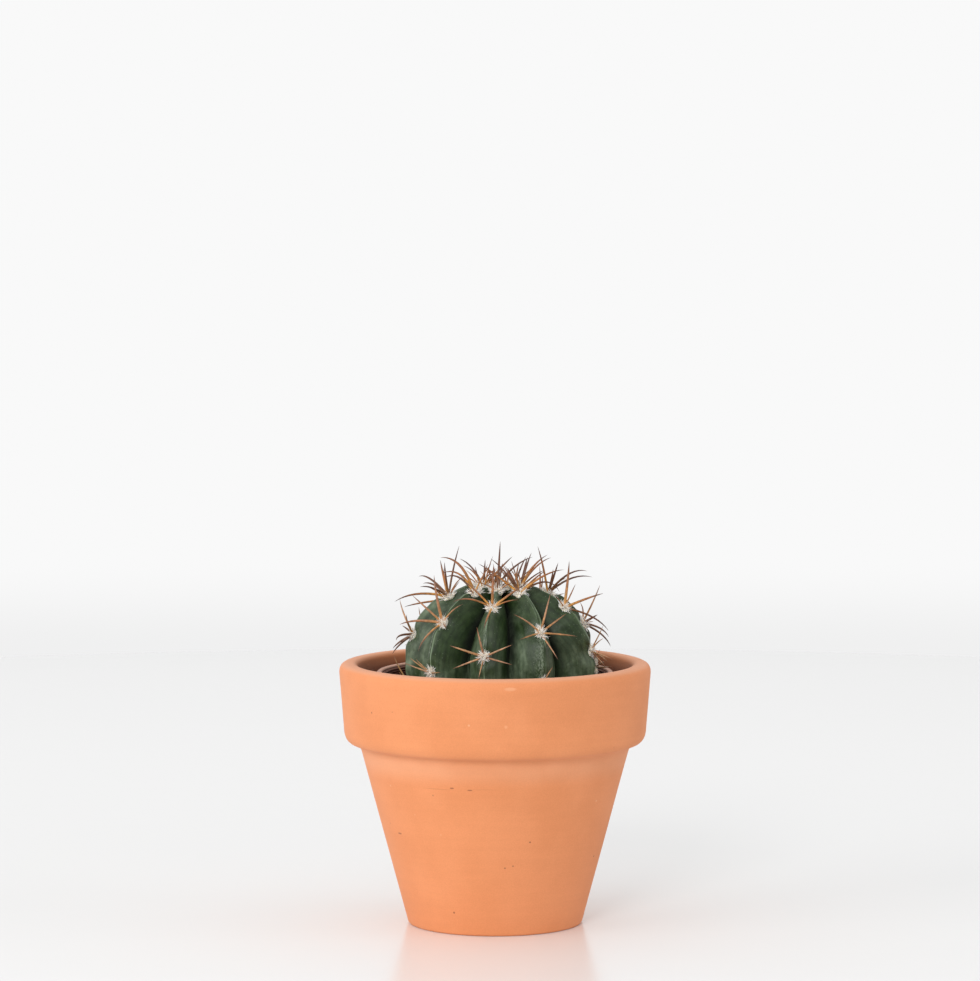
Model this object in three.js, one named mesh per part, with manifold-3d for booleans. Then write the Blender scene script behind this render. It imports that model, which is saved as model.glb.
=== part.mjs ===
// A round ribbed cactus in its brown plastic grow pot, set in a terracotta pot.
// Millimetres, +Z up. The origin is on the axis of the clay pot, on the surface that it stands on.
// The front of the plant faces -Y. An azimuth is measured from the front, positive towards +X.

import * as THREE from 'three';
import { mergeVertices } from 'three/addons/utils/BufferGeometryUtils.js';
import Module from 'manifold-3d';

const wasm = await Module();
wasm.setup();

// Clay pot
const potHeight = 92.6;
const potBaseRadius = 30.8;
const potNeckRadius = 46.95;
const potNeckHeight = 60.5;
const collarUnderside = 64.3;
const collarLowRadius = 53.45;
const collarTopRadius = 55.0;
const rimInnerRadius = 48.3;
const potFloorThickness = 8.0;
const potFloorRadius = 26.3;
const potFloorRounding = 1.6;
const potBaseRounding = 1.0;
const collarFillet = 3.8;
const collarFootRounding = 5.7;
const rimOuterRounding = 3.2;
const rimInnerRounding = 2.3;
const drainHoleRadius = 6.0;
const potSides = 48;
const roundingSteps = 3;

// Grow pot, wedged in the taper of the clay pot
const seatGap = 0.3;
const growPotBottom = 25.0;
const growPotRimHeight = 89.4;
const growPotRimRadius = 41.8;
const growPotRimBand = 9.0;
const growPotRimLip = 1.4;
const growPotRingStep = 0.7;
const growPotEdge = 0.5;
const growPotShoulder = 2.2;
const growPotWall = 1.1;
const growPotDrainRadius = 4.0;
const growPotDrainCircle = 17.0;
const growPotDrains = 5;

// Soil
const soilLevel = 80.8;
const soilRoughness = 0.7;
const soilCrumbleEdge = 2.6;
const facetAllowance = 0.1;

// Cactus: the crest line of a rib is half a superellipse, round at the equator and flat at the crown
const plantOffset = 1.9;
const plantRadius = 33.5;
const equatorHeight = 91.0;
const crownRise = 29.5;
const baseDrop = 24.0;
const squareness = 2.4;
const crownDimple = 2.2;
const crownDimpleWidth = 6.0;
const valleyDepth = 12.5;
const valleyOnset = 9.0;
const valleyFade = [60, 84];
const valleyPower = 8;
const flankShare = 0.86;
const crestFlat = 0.05;
const ridgeWidth = 0.03;
const ribTwist = 4.0;
const ribTwistReach = [15, 45];
const ribLeanReach = [31, 49];
const notchDepth = 1.5;
const notchLength = 2.8;
const notchWidth = 0.3;
const notchOnset = 12;

// Each rib: the azimuth of its crest, the lean that some crests take to one side on their way down, and how
// far along the crest its woolly cushions lie from the crown
const ribs = [
  { azimuth: -87, cushions: [6, 19.4, 39, 58] },
  { azimuth: -48.5, cushions: [13.5, 32, 51] },
  { azimuth: -10.5, cushions: [10, 23.6, 44] },
  { azimuth: 26.8, cushions: [13.4, 35.4, 53.5] },
  { azimuth: 68, lean: 15, cushions: [7.5, 26, 45] },
  { azimuth: 93, lean: 15, cushions: [17.7, 35.1, 53] },
  { azimuth: 146, cushions: [10.5, 29, 47.5] },
  { azimuth: 189, cushions: [5.5, 16, 34, 52] },
  { azimuth: 231, cushions: [9, 25, 43.5] },
];

// Spines that face the front, as they grow on the plant: [clock, length, lift, bend] for each in a cushion.
// The clock angle runs clockwise from the crown, seen from outside. The lift is above the skin. The bend is
// how far the spine turns back towards the skin from root to tip, and is negative where it turns away.
const frontSpines = {
  '0:0': [[-152, 13.6, 52, 50], [170, 11.1, 51, 50], [-34, 10, 80, 5], [23, 15.6, 43, 10], [22, 12, 69, 10],
    [52, 10, 43, 30]],
  '0:1': [[-179, 19.2, 20, 50], [-116, 16.5, 35, 70], [-130, 11.7, 38, 70], [144, 12.9, 40, 45],
    [-68, 15, 53, 10], [58, 14.2, 61, 8], [-17, 18.6, 50, 10], [13, 7, 29, 10]],
  '0:2': [[-42, 15, 32, 20], [-82, 8.5, 30, -25], [118, 9.2, 37, 75], [-140, 11.3, 25, 30],
    [153, 11, 28, 30], [52, 12, 26, 30]],
  '0:3': [[-10, 12.4, 15, 18], [18, 7.4, 23, 20], [80, 7, 12, 20], [-75, 7, 12, 15]],
  '1:0': [[-106, 12.6, 27, 95], [-97, 17.9, 46, 90], [-114, 13.5, 37, 95], [150, 9, 20, 35],
    [20, 12, 45, 20]],
  '1:1': [[-16, 17, 37, 20], [-66, 14.7, 41, 30], [-116, 15.5, 26, 55], [-174, 14, 12, 50],
    [44, 10.5, 8, 50], [118, 5, 12, 20]],
  '1:2': [[-46, 7.5, 22, 16], [-52, 9.5, 26, 14], [-66, 10, 35, 10], [82, 7, 12, 20], [-135, 6, 12, 20]],
  '2:0': [[1, 18.7, 56, 6], [24, 10, 68, 4], [-44, 10.1, 51, 10], [107, 7.7, 30, 30], [-115, 9, 27, 30]],
  '2:1': [[2, 14.9, 51, 8], [-95, 14, 14, 76], [-61, 13.6, 34, 16], [60, 14.5, 22, 16], [80, 10, 14, 44],
    [-175, 14, 8, 30]],
  '2:2': [[-12, 11, 20, 16], [-73, 12.6, 11, 24], [-114, 12, 20, 18], [67, 11.5, 12, 14], [104, 11, 12, 26],
    [-171, 8.5, 18, 20]],
  '3:0': [[-48, 18, 27, 12], [-38, 16, 39, 30], [-24, 12.6, 44, 6], [-48, 10.3, 57, 10], [-27, 10, 66, 8],
    [101, 15, 3, 100], [102, 18, 31, 45], [81, 12.8, 35, 20]],
  '3:1': [[18, 14.5, 27, 6], [62, 12, 18, 6], [108, 13, 20, 14], [165, 12, 12, 8], [-106, 10.5, 10, 34],
    [-58, 12.5, 12, 44]],
  '3:2': [[28, 6.9, 13, 10], [102, 6.5, 15, 10], [146, 8.3, 17, 29], [-164, 9.3, 12, 35],
    [-94, 9.1, 16, 24]],
  '4:0': [[119, 13.2, 74, 12], [90, 11.8, 66, 10], [166, 15.3, 57, 40], [177, 15.8, 51, 44],
    [134, 11.4, 36, 30], [-24, 10.3, 66, -6], [103, 10.8, 46, 20]],
  '4:1': [[28, 17, 47, 8], [123, 15.4, 45, 14], [154, 18.2, 7, 48], [62, 10.5, 45, 10], [-60, 9, 20, 20]],
  '4:2': [[-2, 10.4, 34, 10], [-4, 6.7, 53, -30], [177, 8.5, 62, 16], [-142, 7.8, 50, 30],
    [173, 7.8, 35, 20], [-107, 6.1, 40, 20]],
  '5:0': [[3, 11.1, 59, 4], [-72, 12.5, 69, 8], [-49, 9.3, 72, 20], [-132, 18.2, 45, 66],
    [-163, 16.9, 42, 60], [119, 13.5, 30, 50], [-14, 17.8, 54, 10]],
  '5:1': [[-17, 15.3, 50, 8], [-79, 6.3, 73, 44], [167, 4.1, 68, 14], [-153, 10.9, 31, 60],
    [157, 15.4, 20, 42], [64, 12.6, 16, 30]],
  '5:2': [[-68, 11.4, 22, 10], [-81, 15, 18, 40], [-82, 16.1, 10, 60], [-73, 12.1, 12, 30],
    [-35, 9.5, 18, 20], [40, 5.9, 16, 20], [150, 7, 12, 20]],
  '6:0': [[-143, 11.5, 72, 15], [164, 9.7, 67, 10], [60, 7.9, 60, 20], [-136, 10.3, 47, 30],
    [79, 8.8, 40, 30]],
  '7:0': [[166, 8.5, 73, 10], [-76, 16.5, 38, 40], [-130, 8.7, 53, 30], [157, 10.1, 39, 40],
    [-97, 8.3, 36, 40]],
  '7:1': [[-132, 8.8, 70, 10], [-117, 10.7, 46, 30], [158, 9.7, 53, 30], [15, 9.1, 21, 30],
    [-10, 9.9, 20, 30]],
  '8:0': [[-138, 8.1, 64, 10], [177, 8, 52, 30], [-67, 8.8, 59, 10], [-39, 9, 40, 30], [117, 8.4, 35, 40]],
  '8:1': [[139, 16, 20, 16], [18, 12, 52, 30], [80, 11.5, 28, 40], [-50, 11, 30, 40], [-110, 12, 28, 30],
    [-165, 11, 22, 40]],
};

// Wool: half its width, length and height, and what youth adds to the first two
const woolHalfSize = [1.7, 2.1, 1.9];
const woolYoung = [0.7, 1.3];
const woolYouthReach = 22;
const woolSink = 0.1;

// Spines of the other cushions: near the crown they are longer, stand higher and curve back more
const spinesPerCushion = 7;
const spineRadius = 0.42;
const spineTaper = 0.75;
const spineRootLift = 0.3;
const spineRootDepth = 0.9;
const spineClearance = 1.4;
const spineTurnShare = 0.6;
const spineBend = { crown: 50, fall: 0.6, spread: 44, least: 4 };
const spineLength = { crown: 16.5, fall: 0.13, central: 1.12, radial: 0.86, spread: 3.5 };
const spineLift = { crown: 36, fall: 0.46, central: 24, spread: 22, least: 10 };
const clockSpread = { central: 40, radial: 30 };
const growthSeed = 41;

// Repeatable draw between 0 and 1 for a whole number
function draw(index) {
  const wave = Math.sin((index + growthSeed) * 12.9898) * 43758.5453;
  return wave - Math.floor(wave);
}

// Geometry with shared vertices, no empty triangles and its faces outwards
function closedSurface(geometry) {
  geometry.deleteAttribute('normal');
  geometry.deleteAttribute('uv');
  const merged = mergeVertices(geometry, 1e-4);
  const points = merged.getAttribute('position');
  const corners = merged.getIndex().array;
  const faces = [];
  const a = new THREE.Vector3();
  const b = new THREE.Vector3();
  const c = new THREE.Vector3();
  let volume = 0;
  for (let i = 0; i < corners.length; i += 3) {
    const face = [corners[i], corners[i + 1], corners[i + 2]];
    if (face[0] === face[1] || face[1] === face[2] || face[2] === face[0]) continue;
    faces.push(face);
    a.fromBufferAttribute(points, face[0]);
    b.fromBufferAttribute(points, face[1]);
    c.fromBufferAttribute(points, face[2]);
    volume += a.dot(b.cross(c));
  }
  if (volume < 0) faces.forEach((face) => face.reverse());
  merged.setIndex(faces.flat());
  return merged;
}

function toSolid(geometry) {
  const closed = closedSurface(geometry);
  const mesh = new wasm.Mesh({
    numProp: 3,
    vertProperties: new Float32Array(closed.getAttribute('position').array),
    triVerts: new Uint32Array(closed.getIndex().array),
  });
  return new wasm.Manifold(mesh);
}

function toGeometry(solid) {
  const mesh = solid.getMesh();
  const geometry = new THREE.BufferGeometry();
  geometry.setAttribute('position', new THREE.BufferAttribute(mesh.vertProperties, 3));
  geometry.setIndex(new THREE.BufferAttribute(mesh.triVerts, 1));
  return geometry;
}

// A closed outline in (radius, height) turned about +Z
function turned(outline, sides, roundSteps) {
  const points = outline.getPoints(roundSteps);
  const geometry = new THREE.LatheGeometry(points, sides);
  return geometry.rotateX(Math.PI / 2);
}

// A closed skin from rows of points, each row going once round; a row of one point is a pole
function skinOfRows(rows) {
  const columns = Math.max(...rows.map((row) => row.length));
  const positions = rows.flatMap((row) => row.flatMap((point) => point.toArray()));
  const starts = rows.map((row, index) => rows.slice(0, index).reduce((sum, r) => sum + r.length, 0));
  const vertex = (row, column) => starts[row] + (rows[row].length === 1 ? 0 : column % columns);
  const index = [];
  for (let row = 0; row + 1 < rows.length; row += 1) {
    for (let column = 0; column < columns; column += 1) {
      const low = vertex(row, column);
      const lowNext = vertex(row, column + 1);
      const high = vertex(row + 1, column);
      const highNext = vertex(row + 1, column + 1);
      index.push(low, lowNext, highNext, low, highNext, high);
    }
  }
  const geometry = new THREE.BufferGeometry();
  geometry.setAttribute('position', new THREE.Float32BufferAttribute(positions, 3));
  geometry.setIndex(index);
  return geometry;
}

// Clay pot: tapered wall, tall collar with rounded edges, thick floor with a drain hole
function clayPot() {
  const outline = new THREE.Path();
  outline.moveTo(drainHoleRadius, 0);
  outline.lineTo(potBaseRadius - potBaseRounding, 0);
  outline.quadraticCurveTo(potBaseRadius, 0, potBaseRadius + 0.2 * potBaseRounding, potBaseRounding);
  outline.lineTo(potNeckRadius, potNeckHeight);
  const filletCorner = potNeckRadius + 0.25 * collarFillet;
  const filletEnd = potNeckRadius + 0.7 * collarFillet;
  outline.quadraticCurveTo(filletCorner, collarUnderside, filletEnd, collarUnderside);
  const collarFoot = collarUnderside + collarFootRounding;
  outline.quadraticCurveTo(collarLowRadius, collarUnderside, collarLowRadius, collarFoot);
  outline.lineTo(collarTopRadius, potHeight - rimOuterRounding);
  outline.quadraticCurveTo(collarTopRadius, potHeight, collarTopRadius - rimOuterRounding, potHeight);
  outline.lineTo(rimInnerRadius + rimInnerRounding, potHeight);
  outline.quadraticCurveTo(rimInnerRadius, potHeight, rimInnerRadius, potHeight - rimInnerRounding);
  outline.lineTo(potFloorRadius, potFloorThickness + potFloorRounding);
  const floorEdge = potFloorRadius - potFloorRounding;
  outline.quadraticCurveTo(potFloorRadius, potFloorThickness, floorEdge, potFloorThickness);
  outline.lineTo(drainHoleRadius, potFloorThickness);
  outline.closePath();
  return closedSurface(turned(outline, potSides, roundingSteps));
}

// Radius of the clay pot's inside wall, which runs straight from the floor's rounding to the rim's
function clayInnerRadius(height) {
  const foot = potFloorThickness + potFloorRounding;
  const taper = (rimInnerRadius - potFloorRadius) / (potHeight - rimInnerRounding - foot);
  return potFloorRadius + taper * (height - foot);
}

// Grow pot: thin tapered cup with a wider ringed rim band, its lower edge seated in the clay taper
const growPotBaseRadius = clayInnerRadius(growPotBottom) - seatGap;
const growPotBandFoot = growPotRimHeight - growPotRimBand;
const growPotWallTop = growPotRimRadius - growPotShoulder;

function growPotInnerRadius(height) {
  const share = (height - growPotBottom) / (growPotBandFoot - growPotBottom);
  return growPotBaseRadius - growPotWall + (growPotWallTop - growPotBaseRadius) * share;
}

function growPot() {
  const floor = growPotBottom + growPotWall;
  const lipInner = growPotRimRadius - growPotEdge - growPotRimLip;
  const ringHeight = growPotRimHeight - 2 * growPotRingStep;
  const outline = new THREE.Path();
  outline.moveTo(0, growPotBottom);
  outline.lineTo(growPotBaseRadius - growPotEdge, growPotBottom);
  outline.lineTo(growPotBaseRadius, growPotBottom + growPotEdge);
  outline.lineTo(growPotWallTop, growPotBandFoot);
  outline.lineTo(growPotRimRadius - growPotEdge, growPotBandFoot + growPotEdge);
  outline.lineTo(growPotRimRadius, growPotRimHeight - growPotEdge);
  outline.lineTo(growPotRimRadius - growPotEdge, growPotRimHeight);
  outline.lineTo(lipInner, growPotRimHeight);
  outline.lineTo(lipInner - growPotRingStep / 2, ringHeight + growPotRingStep);
  outline.lineTo(lipInner - 1.5 * growPotRingStep, ringHeight);
  outline.lineTo(growPotWallTop - growPotWall, growPotBandFoot - growPotEdge);
  outline.lineTo(growPotInnerRadius(floor), floor);
  outline.lineTo(0, floor);
  let cup = toSolid(turned(outline, potSides, 1));
  for (let drain = 0; drain < growPotDrains; drain += 1) {
    const angle = (2 * Math.PI * drain) / growPotDrains;
    const hole = new THREE.CylinderGeometry(growPotDrainRadius, growPotDrainRadius, 4 * growPotWall, 12);
    hole.rotateX(Math.PI / 2);
    const across = growPotDrainCircle * Math.cos(angle);
    const along = growPotDrainCircle * Math.sin(angle);
    hole.translate(across, along, growPotBottom + growPotWall / 2);
    cup = cup.subtract(toSolid(hole));
  }
  return toGeometry(cup);
}

// The crest line from the crown to the underside, stepped finely enough to be measured along
function superellipse(turn) {
  const cosine = Math.max(Math.cos(turn), 0);
  const sine = Math.sin(turn);
  const rise = sine > 0 ? crownRise : baseDrop;
  const radius = plantRadius * cosine ** (2 / squareness);
  const height = equatorHeight + rise * Math.sign(sine) * Math.abs(sine) ** (2 / squareness);
  return new THREE.Vector2(radius, height);
}

const crestSteps = 720;
const crestLine = [];
for (let step = 0; step <= crestSteps; step += 1) {
  const point = superellipse(Math.PI / 2 - (Math.PI * step) / crestSteps);
  const last = crestLine[step - 1];
  crestLine.push({ point, distance: last ? last.distance + point.distanceTo(last.point) : 0 });
}
const crestLength = crestLine[crestSteps].distance;

// Radius, height, unit direction to the crown and unit direction outwards, at a distance from the crown
function crestAt(distance) {
  const wanted = Math.min(Math.max(distance, 0), crestLength);
  let step = crestLine.findIndex((entry) => entry.distance >= wanted);
  step = Math.max(step, 1);
  const before = crestLine[step - 1];
  const after = crestLine[step];
  const share = (wanted - before.distance) / (after.distance - before.distance);
  const place = before.point.clone().lerp(after.point, share);
  const up = before.point.clone().sub(after.point).normalize();
  const out = new THREE.Vector2(up.y, -up.x);
  return { place, up, out };
}

function crestDistanceAtHeight(height) {
  return crestLine.find((entry) => entry.point.y <= height).distance;
}

function smoothStep(from, to, value) {
  const share = Math.min(Math.max((value - from) / (to - from), 0), 1);
  return share * share * (3 - 2 * share);
}

// The azimuth of a crest: all of them turn a little as they near the crown, and some lean on their way down
function azimuthAt(rib, distance) {
  const [full, none] = ribTwistReach;
  const twist = ribTwist * Math.min(Math.max((none - distance) / (none - full), 0), 1.2);
  const lean = rib.lean ?? 0;
  return rib.azimuth + lean * smoothStep(...ribLeanReach, distance) + twist;
}

// How far the skin lies under the crest line, for a share of the way from a crest (0) to the valley (1):
// straight flanks from the edges of a narrow flat crest to a steep valley
function ribDrop(share, distance) {
  const onset = 1 - Math.exp(-distance / valleyOnset);
  const fade = 1 - smoothStep(...valleyFade, distance);
  const offCrest = Math.max(share - crestFlat, 0) / (1 - crestFlat);
  const ridge = (Math.hypot(offCrest, ridgeWidth) - ridgeWidth) / (Math.hypot(1, ridgeWidth) - ridgeWidth);
  return valleyDepth * onset * fade * (flankShare * ridge + (1 - flankShare) * share ** valleyPower);
}

// A cushion sits in a shallow notch of the crest, which is shallower on the crowded crown
function notchDrop(rib, share, distance) {
  let drop = 0;
  for (const cushion of rib.cushions) {
    drop += notchDepth * Math.exp(-(((distance - cushion) / notchLength) ** 2));
  }
  return drop * Math.exp(-((share / notchWidth) ** 2)) * Math.min(distance / notchOnset, 1);
}

// A point of the skin: rib number, share of the way to the next crest, distance from the crown, height off
// it. A valley lies under the crest line square to the skin above the equator, and level with it below.
function skinPoint(number, step, distance, offset) {
  const rib = ribs[number % ribs.length];
  const next = ribs[(number + 1) % ribs.length];
  const gap = (azimuthAt(next, distance) - azimuthAt(rib, distance) + 360) % 360;
  const share = 1 - Math.abs(1 - 2 * step);
  const nearest = step < 0.5 ? rib : next;
  const { place, out } = crestAt(distance);
  const dimple = crownDimple * Math.exp(-((distance / crownDimpleWidth) ** 2));
  const drop = ribDrop(share, distance) + notchDrop(nearest, share, distance) + dimple;
  const inward = out.y > 0 ? out : new THREE.Vector2(1, 0);
  const radius = Math.max(place.x - inward.x * drop + out.x * offset, 0);
  const azimuth = THREE.MathUtils.degToRad(azimuthAt(rib, distance) + gap * step);
  const across = plantOffset + radius * Math.sin(azimuth);
  const height = place.y - inward.y * drop + out.y * offset;
  return new THREE.Vector3(across, -radius * Math.cos(azimuth), height);
}

const ribColumns = [0, 0.035, 0.24, 0.45, 0.5, 0.55, 0.76, 0.965];

function skinRow(distance, offset) {
  const row = [];
  for (let number = 0; number < ribs.length; number += 1) {
    for (const step of ribColumns) row.push(skinPoint(number, step, distance, offset));
  }
  return row;
}

const openRings = [2.4, 5.2, 8.4, 12, 16, 20, 24.5, 29, 33.5, 38, 42.5, 47, 52, 57];
const buriedRings = [crestDistanceAtHeight(soilLevel), 68, 76, 86];

function cactusBody() {
  const crown = skinPoint(0, 0, 0, 0);
  const foot = skinPoint(0, 0, crestLength, 0);
  const rings = [...openRings, ...buriedRings].map((distance) => skinRow(distance, 0));
  return skinOfRows([[crown], ...rings, [foot]]);
}

// The place of a cushion and its own directions: to the crown, to the right seen from outside, and outwards
function cushionFrame(number, distance) {
  const { up, out } = crestAt(distance);
  const azimuth = THREE.MathUtils.degToRad(azimuthAt(ribs[number], distance));
  const away = new THREE.Vector3(Math.sin(azimuth), -Math.cos(azimuth), 0);
  const vertical = new THREE.Vector3(0, 0, 1);
  return {
    place: skinPoint(number, 0, distance, 0),
    toCrown: away.clone().multiplyScalar(up.x).addScaledVector(vertical, up.y),
    toRight: new THREE.Vector3(Math.cos(azimuth), Math.sin(azimuth), 0),
    outwards: away.clone().multiplyScalar(out.x).addScaledVector(vertical, out.y),
  };
}

// Woolly cushion: a low dome, longer along the crest, larger while it is young
function woolCushion(frame, distance) {
  const youth = Math.exp(-distance / woolYouthReach);
  const dome = new THREE.SphereGeometry(1, 6, 4);
  const halfWidth = woolHalfSize[0] + woolYoung[0] * youth;
  const halfLength = woolHalfSize[1] + woolYoung[1] * youth;
  dome.scale(halfWidth, halfLength, woolHalfSize[2]);
  const turn = new THREE.Matrix4().makeBasis(frame.toRight, frame.toCrown, frame.outwards);
  dome.applyMatrix4(turn);
  const seat = frame.place.clone().addScaledVector(frame.outwards, -woolSink);
  return toSolid(dome.translate(seat.x, seat.y, seat.z));
}

// Spines keep off the soil, the grow pot's rim and the clay rim
function keptClear(point) {
  const clear = point.clone();
  clear.z = Math.max(clear.z, soilLevel + spineClearance);
  const growPotLimit = growPotWallTop - growPotWall - spineClearance;
  const limit = clear.z < growPotRimHeight + spineClearance ? growPotLimit : rimInnerRadius - spineClearance;
  const reach = Math.hypot(clear.x, clear.y);
  if (clear.z < potHeight + spineClearance && reach > limit) {
    clear.x *= limit / reach;
    clear.y *= limit / reach;
  }
  return clear;
}

// One spine: a three-sided needle, curved in the plane of its heading, that ends in a point. The greater
// share of the turn comes in its outer half, like a claw's.
function spine(frame, clock, length, lift, bend) {
  const heading = THREE.MathUtils.degToRad(clock);
  const along = frame.toCrown.clone().multiplyScalar(Math.cos(heading));
  along.addScaledVector(frame.toRight, Math.sin(heading));
  const raised = (degrees) => {
    const angle = THREE.MathUtils.degToRad(degrees);
    const direction = along.clone().multiplyScalar(Math.cos(angle));
    return direction.addScaledVector(frame.outwards, Math.sin(angle));
  };
  const root = frame.place.clone().addScaledVector(frame.outwards, spineRootLift);
  const startLift = lift + (1 - spineTurnShare) * bend;
  const fullTurn = THREE.MathUtils.degToRad(bend);
  const toTurn = (length * Math.sin(spineTurnShare * fullTurn)) / Math.sin(fullTurn);
  const middle = root.clone().addScaledVector(raised(startLift), toTurn);
  const tip = root.clone().addScaledVector(raised(lift), length);
  const curve = new THREE.QuadraticBezierCurve3(root, keptClear(middle), keptClear(tip));
  const side = along.clone().cross(frame.outwards).normalize();
  const rows = [[root.clone().addScaledVector(raised(startLift), -spineRootDepth)]];
  for (const share of [0, 0.5]) {
    const centre = curve.getPoint(share);
    const forward = curve.getTangent(share);
    const ridge = side.clone().cross(forward).normalize();
    const radius = spineRadius * (1 - spineTaper * share);
    const row = [];
    for (let corner = 0; corner < 3; corner += 1) {
      const angle = (2 * Math.PI * corner) / 3;
      const point = centre.clone().addScaledVector(side, radius * Math.cos(angle));
      row.push(point.addScaledVector(ridge, radius * Math.sin(angle)));
    }
    rows.push(row);
  }
  rows.push([curve.getPoint(1)]);
  return toSolid(skinOfRows(rows));
}

// The spines of a cushion: those drawn for the front, or a star of seven that follows the same habit
function spineStar(number, order, distance) {
  const drawn = frontSpines[`${number}:${order}`];
  if (drawn) return drawn;
  const star = [];
  const first = 97 * number + 13 * order;
  for (let count = 0; count < spinesPerCushion; count += 1) {
    const chance = (which) => draw(7 * (first + count) + which) - 0.5;
    const kind = count === 0 ? 'central' : 'radial';
    const even = count === 0 ? 0 : (360 * (count - 0.5)) / (spinesPerCushion - 1);
    const clock = even + clockSpread[kind] * chance(1);
    const usual = (spineLength.crown - spineLength.fall * distance) * spineLength[kind];
    const length = usual + spineLength.spread * chance(2);
    const raise = kind === 'central' ? spineLift.central : 0;
    const lift = spineLift.crown - spineLift.fall * distance + raise + spineLift.spread * chance(3);
    const bend = spineBend.crown - spineBend.fall * distance + spineBend.spread * chance(4);
    star.push([clock, length, Math.max(lift, spineLift.least), Math.max(bend, spineBend.least)]);
  }
  return star;
}

function cactus() {
  const pieces = [toSolid(cactusBody())];
  ribs.forEach((rib, number) => {
    rib.cushions.forEach((distance, order) => {
      const frame = cushionFrame(number, distance);
      pieces.push(woolCushion(frame, distance));
      for (const [clock, length, lift, bend] of spineStar(number, order, distance)) {
        pieces.push(spine(frame, clock, length, lift, bend));
      }
    });
  });
  return toGeometry(wasm.Manifold.union(pieces));
}

// Soil: fills the grow pot, uneven on top, with a hole that the base of the plant stands in
function soil() {
  const hole = buriedRings.map((distance) => skinRow(distance, seatGap));
  const ringRow = (radius, height, rough) => hole[0].map((brink, column) => {
    const angle = Math.atan2(brink.y, brink.x);
    const bump = rough * (draw(31 * column + Math.round(10 * radius)) - 0.5);
    return new THREE.Vector3(radius * Math.cos(angle), radius * Math.sin(angle), height + bump);
  });
  const soilBottom = growPotBottom + growPotWall + seatGap;
  const wallGap = seatGap + facetAllowance;
  const edge = growPotInnerRadius(soilLevel) - wallGap;
  const rows = [[new THREE.Vector3(0, 0, soilBottom)]];
  rows.push(ringRow(growPotInnerRadius(soilBottom) - wallGap, soilBottom, 0));
  rows.push(ringRow(edge, soilLevel - soilRoughness / 2, 0));
  rows.push(ringRow(edge - soilCrumbleEdge, soilLevel, soilRoughness));
  rows.push(...hole);
  rows.push([skinPoint(0, 0, crestLength, seatGap)]);
  return closedSurface(skinOfRows(rows));
}

function finish(color, roughness) {
  return new THREE.MeshStandardMaterial({ color, roughness, metalness: 0 });
}

function piece(name, geometry, material) {
  const mesh = new THREE.Mesh(geometry, material);
  mesh.name = name;
  return mesh;
}

const group = new THREE.Group();
group.add(piece('terracotta_pot', clayPot(), finish('#f09a69', 0.85)));
group.add(piece('grow_pot', growPot(), finish('#5a3a2c', 0.4)));
group.add(piece('potting_soil', soil(), finish('#2e211a', 0.95)));
group.add(piece('cactus', cactus(), finish('#3f5c46', 0.6)));

export default group;
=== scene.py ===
import itertools

import bpy
import numpy as np
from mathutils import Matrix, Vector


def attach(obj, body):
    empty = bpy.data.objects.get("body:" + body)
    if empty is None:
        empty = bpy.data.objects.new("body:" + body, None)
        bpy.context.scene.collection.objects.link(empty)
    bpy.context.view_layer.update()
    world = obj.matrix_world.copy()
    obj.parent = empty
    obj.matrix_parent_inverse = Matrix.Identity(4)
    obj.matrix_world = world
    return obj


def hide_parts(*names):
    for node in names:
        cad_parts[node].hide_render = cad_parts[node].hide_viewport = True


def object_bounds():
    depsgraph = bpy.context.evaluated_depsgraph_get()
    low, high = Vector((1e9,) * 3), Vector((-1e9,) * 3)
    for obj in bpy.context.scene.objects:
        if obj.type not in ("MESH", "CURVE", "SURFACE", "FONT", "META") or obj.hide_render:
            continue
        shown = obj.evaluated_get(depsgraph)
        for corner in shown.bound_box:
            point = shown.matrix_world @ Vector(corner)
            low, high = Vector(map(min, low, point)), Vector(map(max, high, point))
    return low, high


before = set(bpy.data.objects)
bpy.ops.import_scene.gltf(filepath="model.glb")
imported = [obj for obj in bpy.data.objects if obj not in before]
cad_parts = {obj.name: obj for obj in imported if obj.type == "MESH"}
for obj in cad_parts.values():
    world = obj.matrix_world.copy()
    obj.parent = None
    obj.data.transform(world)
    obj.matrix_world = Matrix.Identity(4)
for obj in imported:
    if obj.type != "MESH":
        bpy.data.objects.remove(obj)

cad_low, cad_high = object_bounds()

# Clay pot
# A common flower pot of fired, unglazed terracotta. It was pressed and turned while soft, which left faint
# rings on its wall. The collar stands out over the taper, and a drain hole goes through the thick floor.
pot_height = 92.6
pot_base_radius = 30.8
pot_neck_radius = 46.95
pot_neck_height = 60.5
collar_underside = 64.3
collar_low_radius = 53.45
collar_top_radius = 55.0
rim_inner_radius = 48.3
pot_floor_thickness = 8.0
pot_floor_radius = 26.3
pot_floor_rounding = 1.6
pot_base_rounding = 1.0
pot_base_flare = 0.2
collar_fillet = 3.8
collar_fillet_bend, collar_fillet_end = 0.25, 0.7
collar_foot_rounding = 5.7
rim_outer_rounding = 3.2
rim_inner_rounding = 2.3
drain_hole_radius = 6.0
pot_sides = 288
pot_step = 1.1
pot_wobble = 0.10
pot_wobble_size = 26.0
ring_mark_height = 0.004
ring_mark_spacing = 1.5
ring_mark_stretch = (0.05, 0.05, 1.0)
# Painted shade inside the pot: the depth under the rim where it is full, and the power of its rise.
damp_reach, damp_power = 5.0, 0.7
clay_patch_size, turning_size, sand_size = 24.0, 2.4, 0.45
turning_stretch = (0.06, 0.06, 1.0)
turning_depth, sand_depth = 0.008, 0.03
# Lime bloom and painted light in a band under the collar: heights where it starts, is full, ends and is gone,
# and its patchy and even shares.
lime_and_light_band = (53.0, 60.0, 61.0, 66.0)
lime_and_light_patchy, lime_and_light_even = 0.06, 0.15
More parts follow.
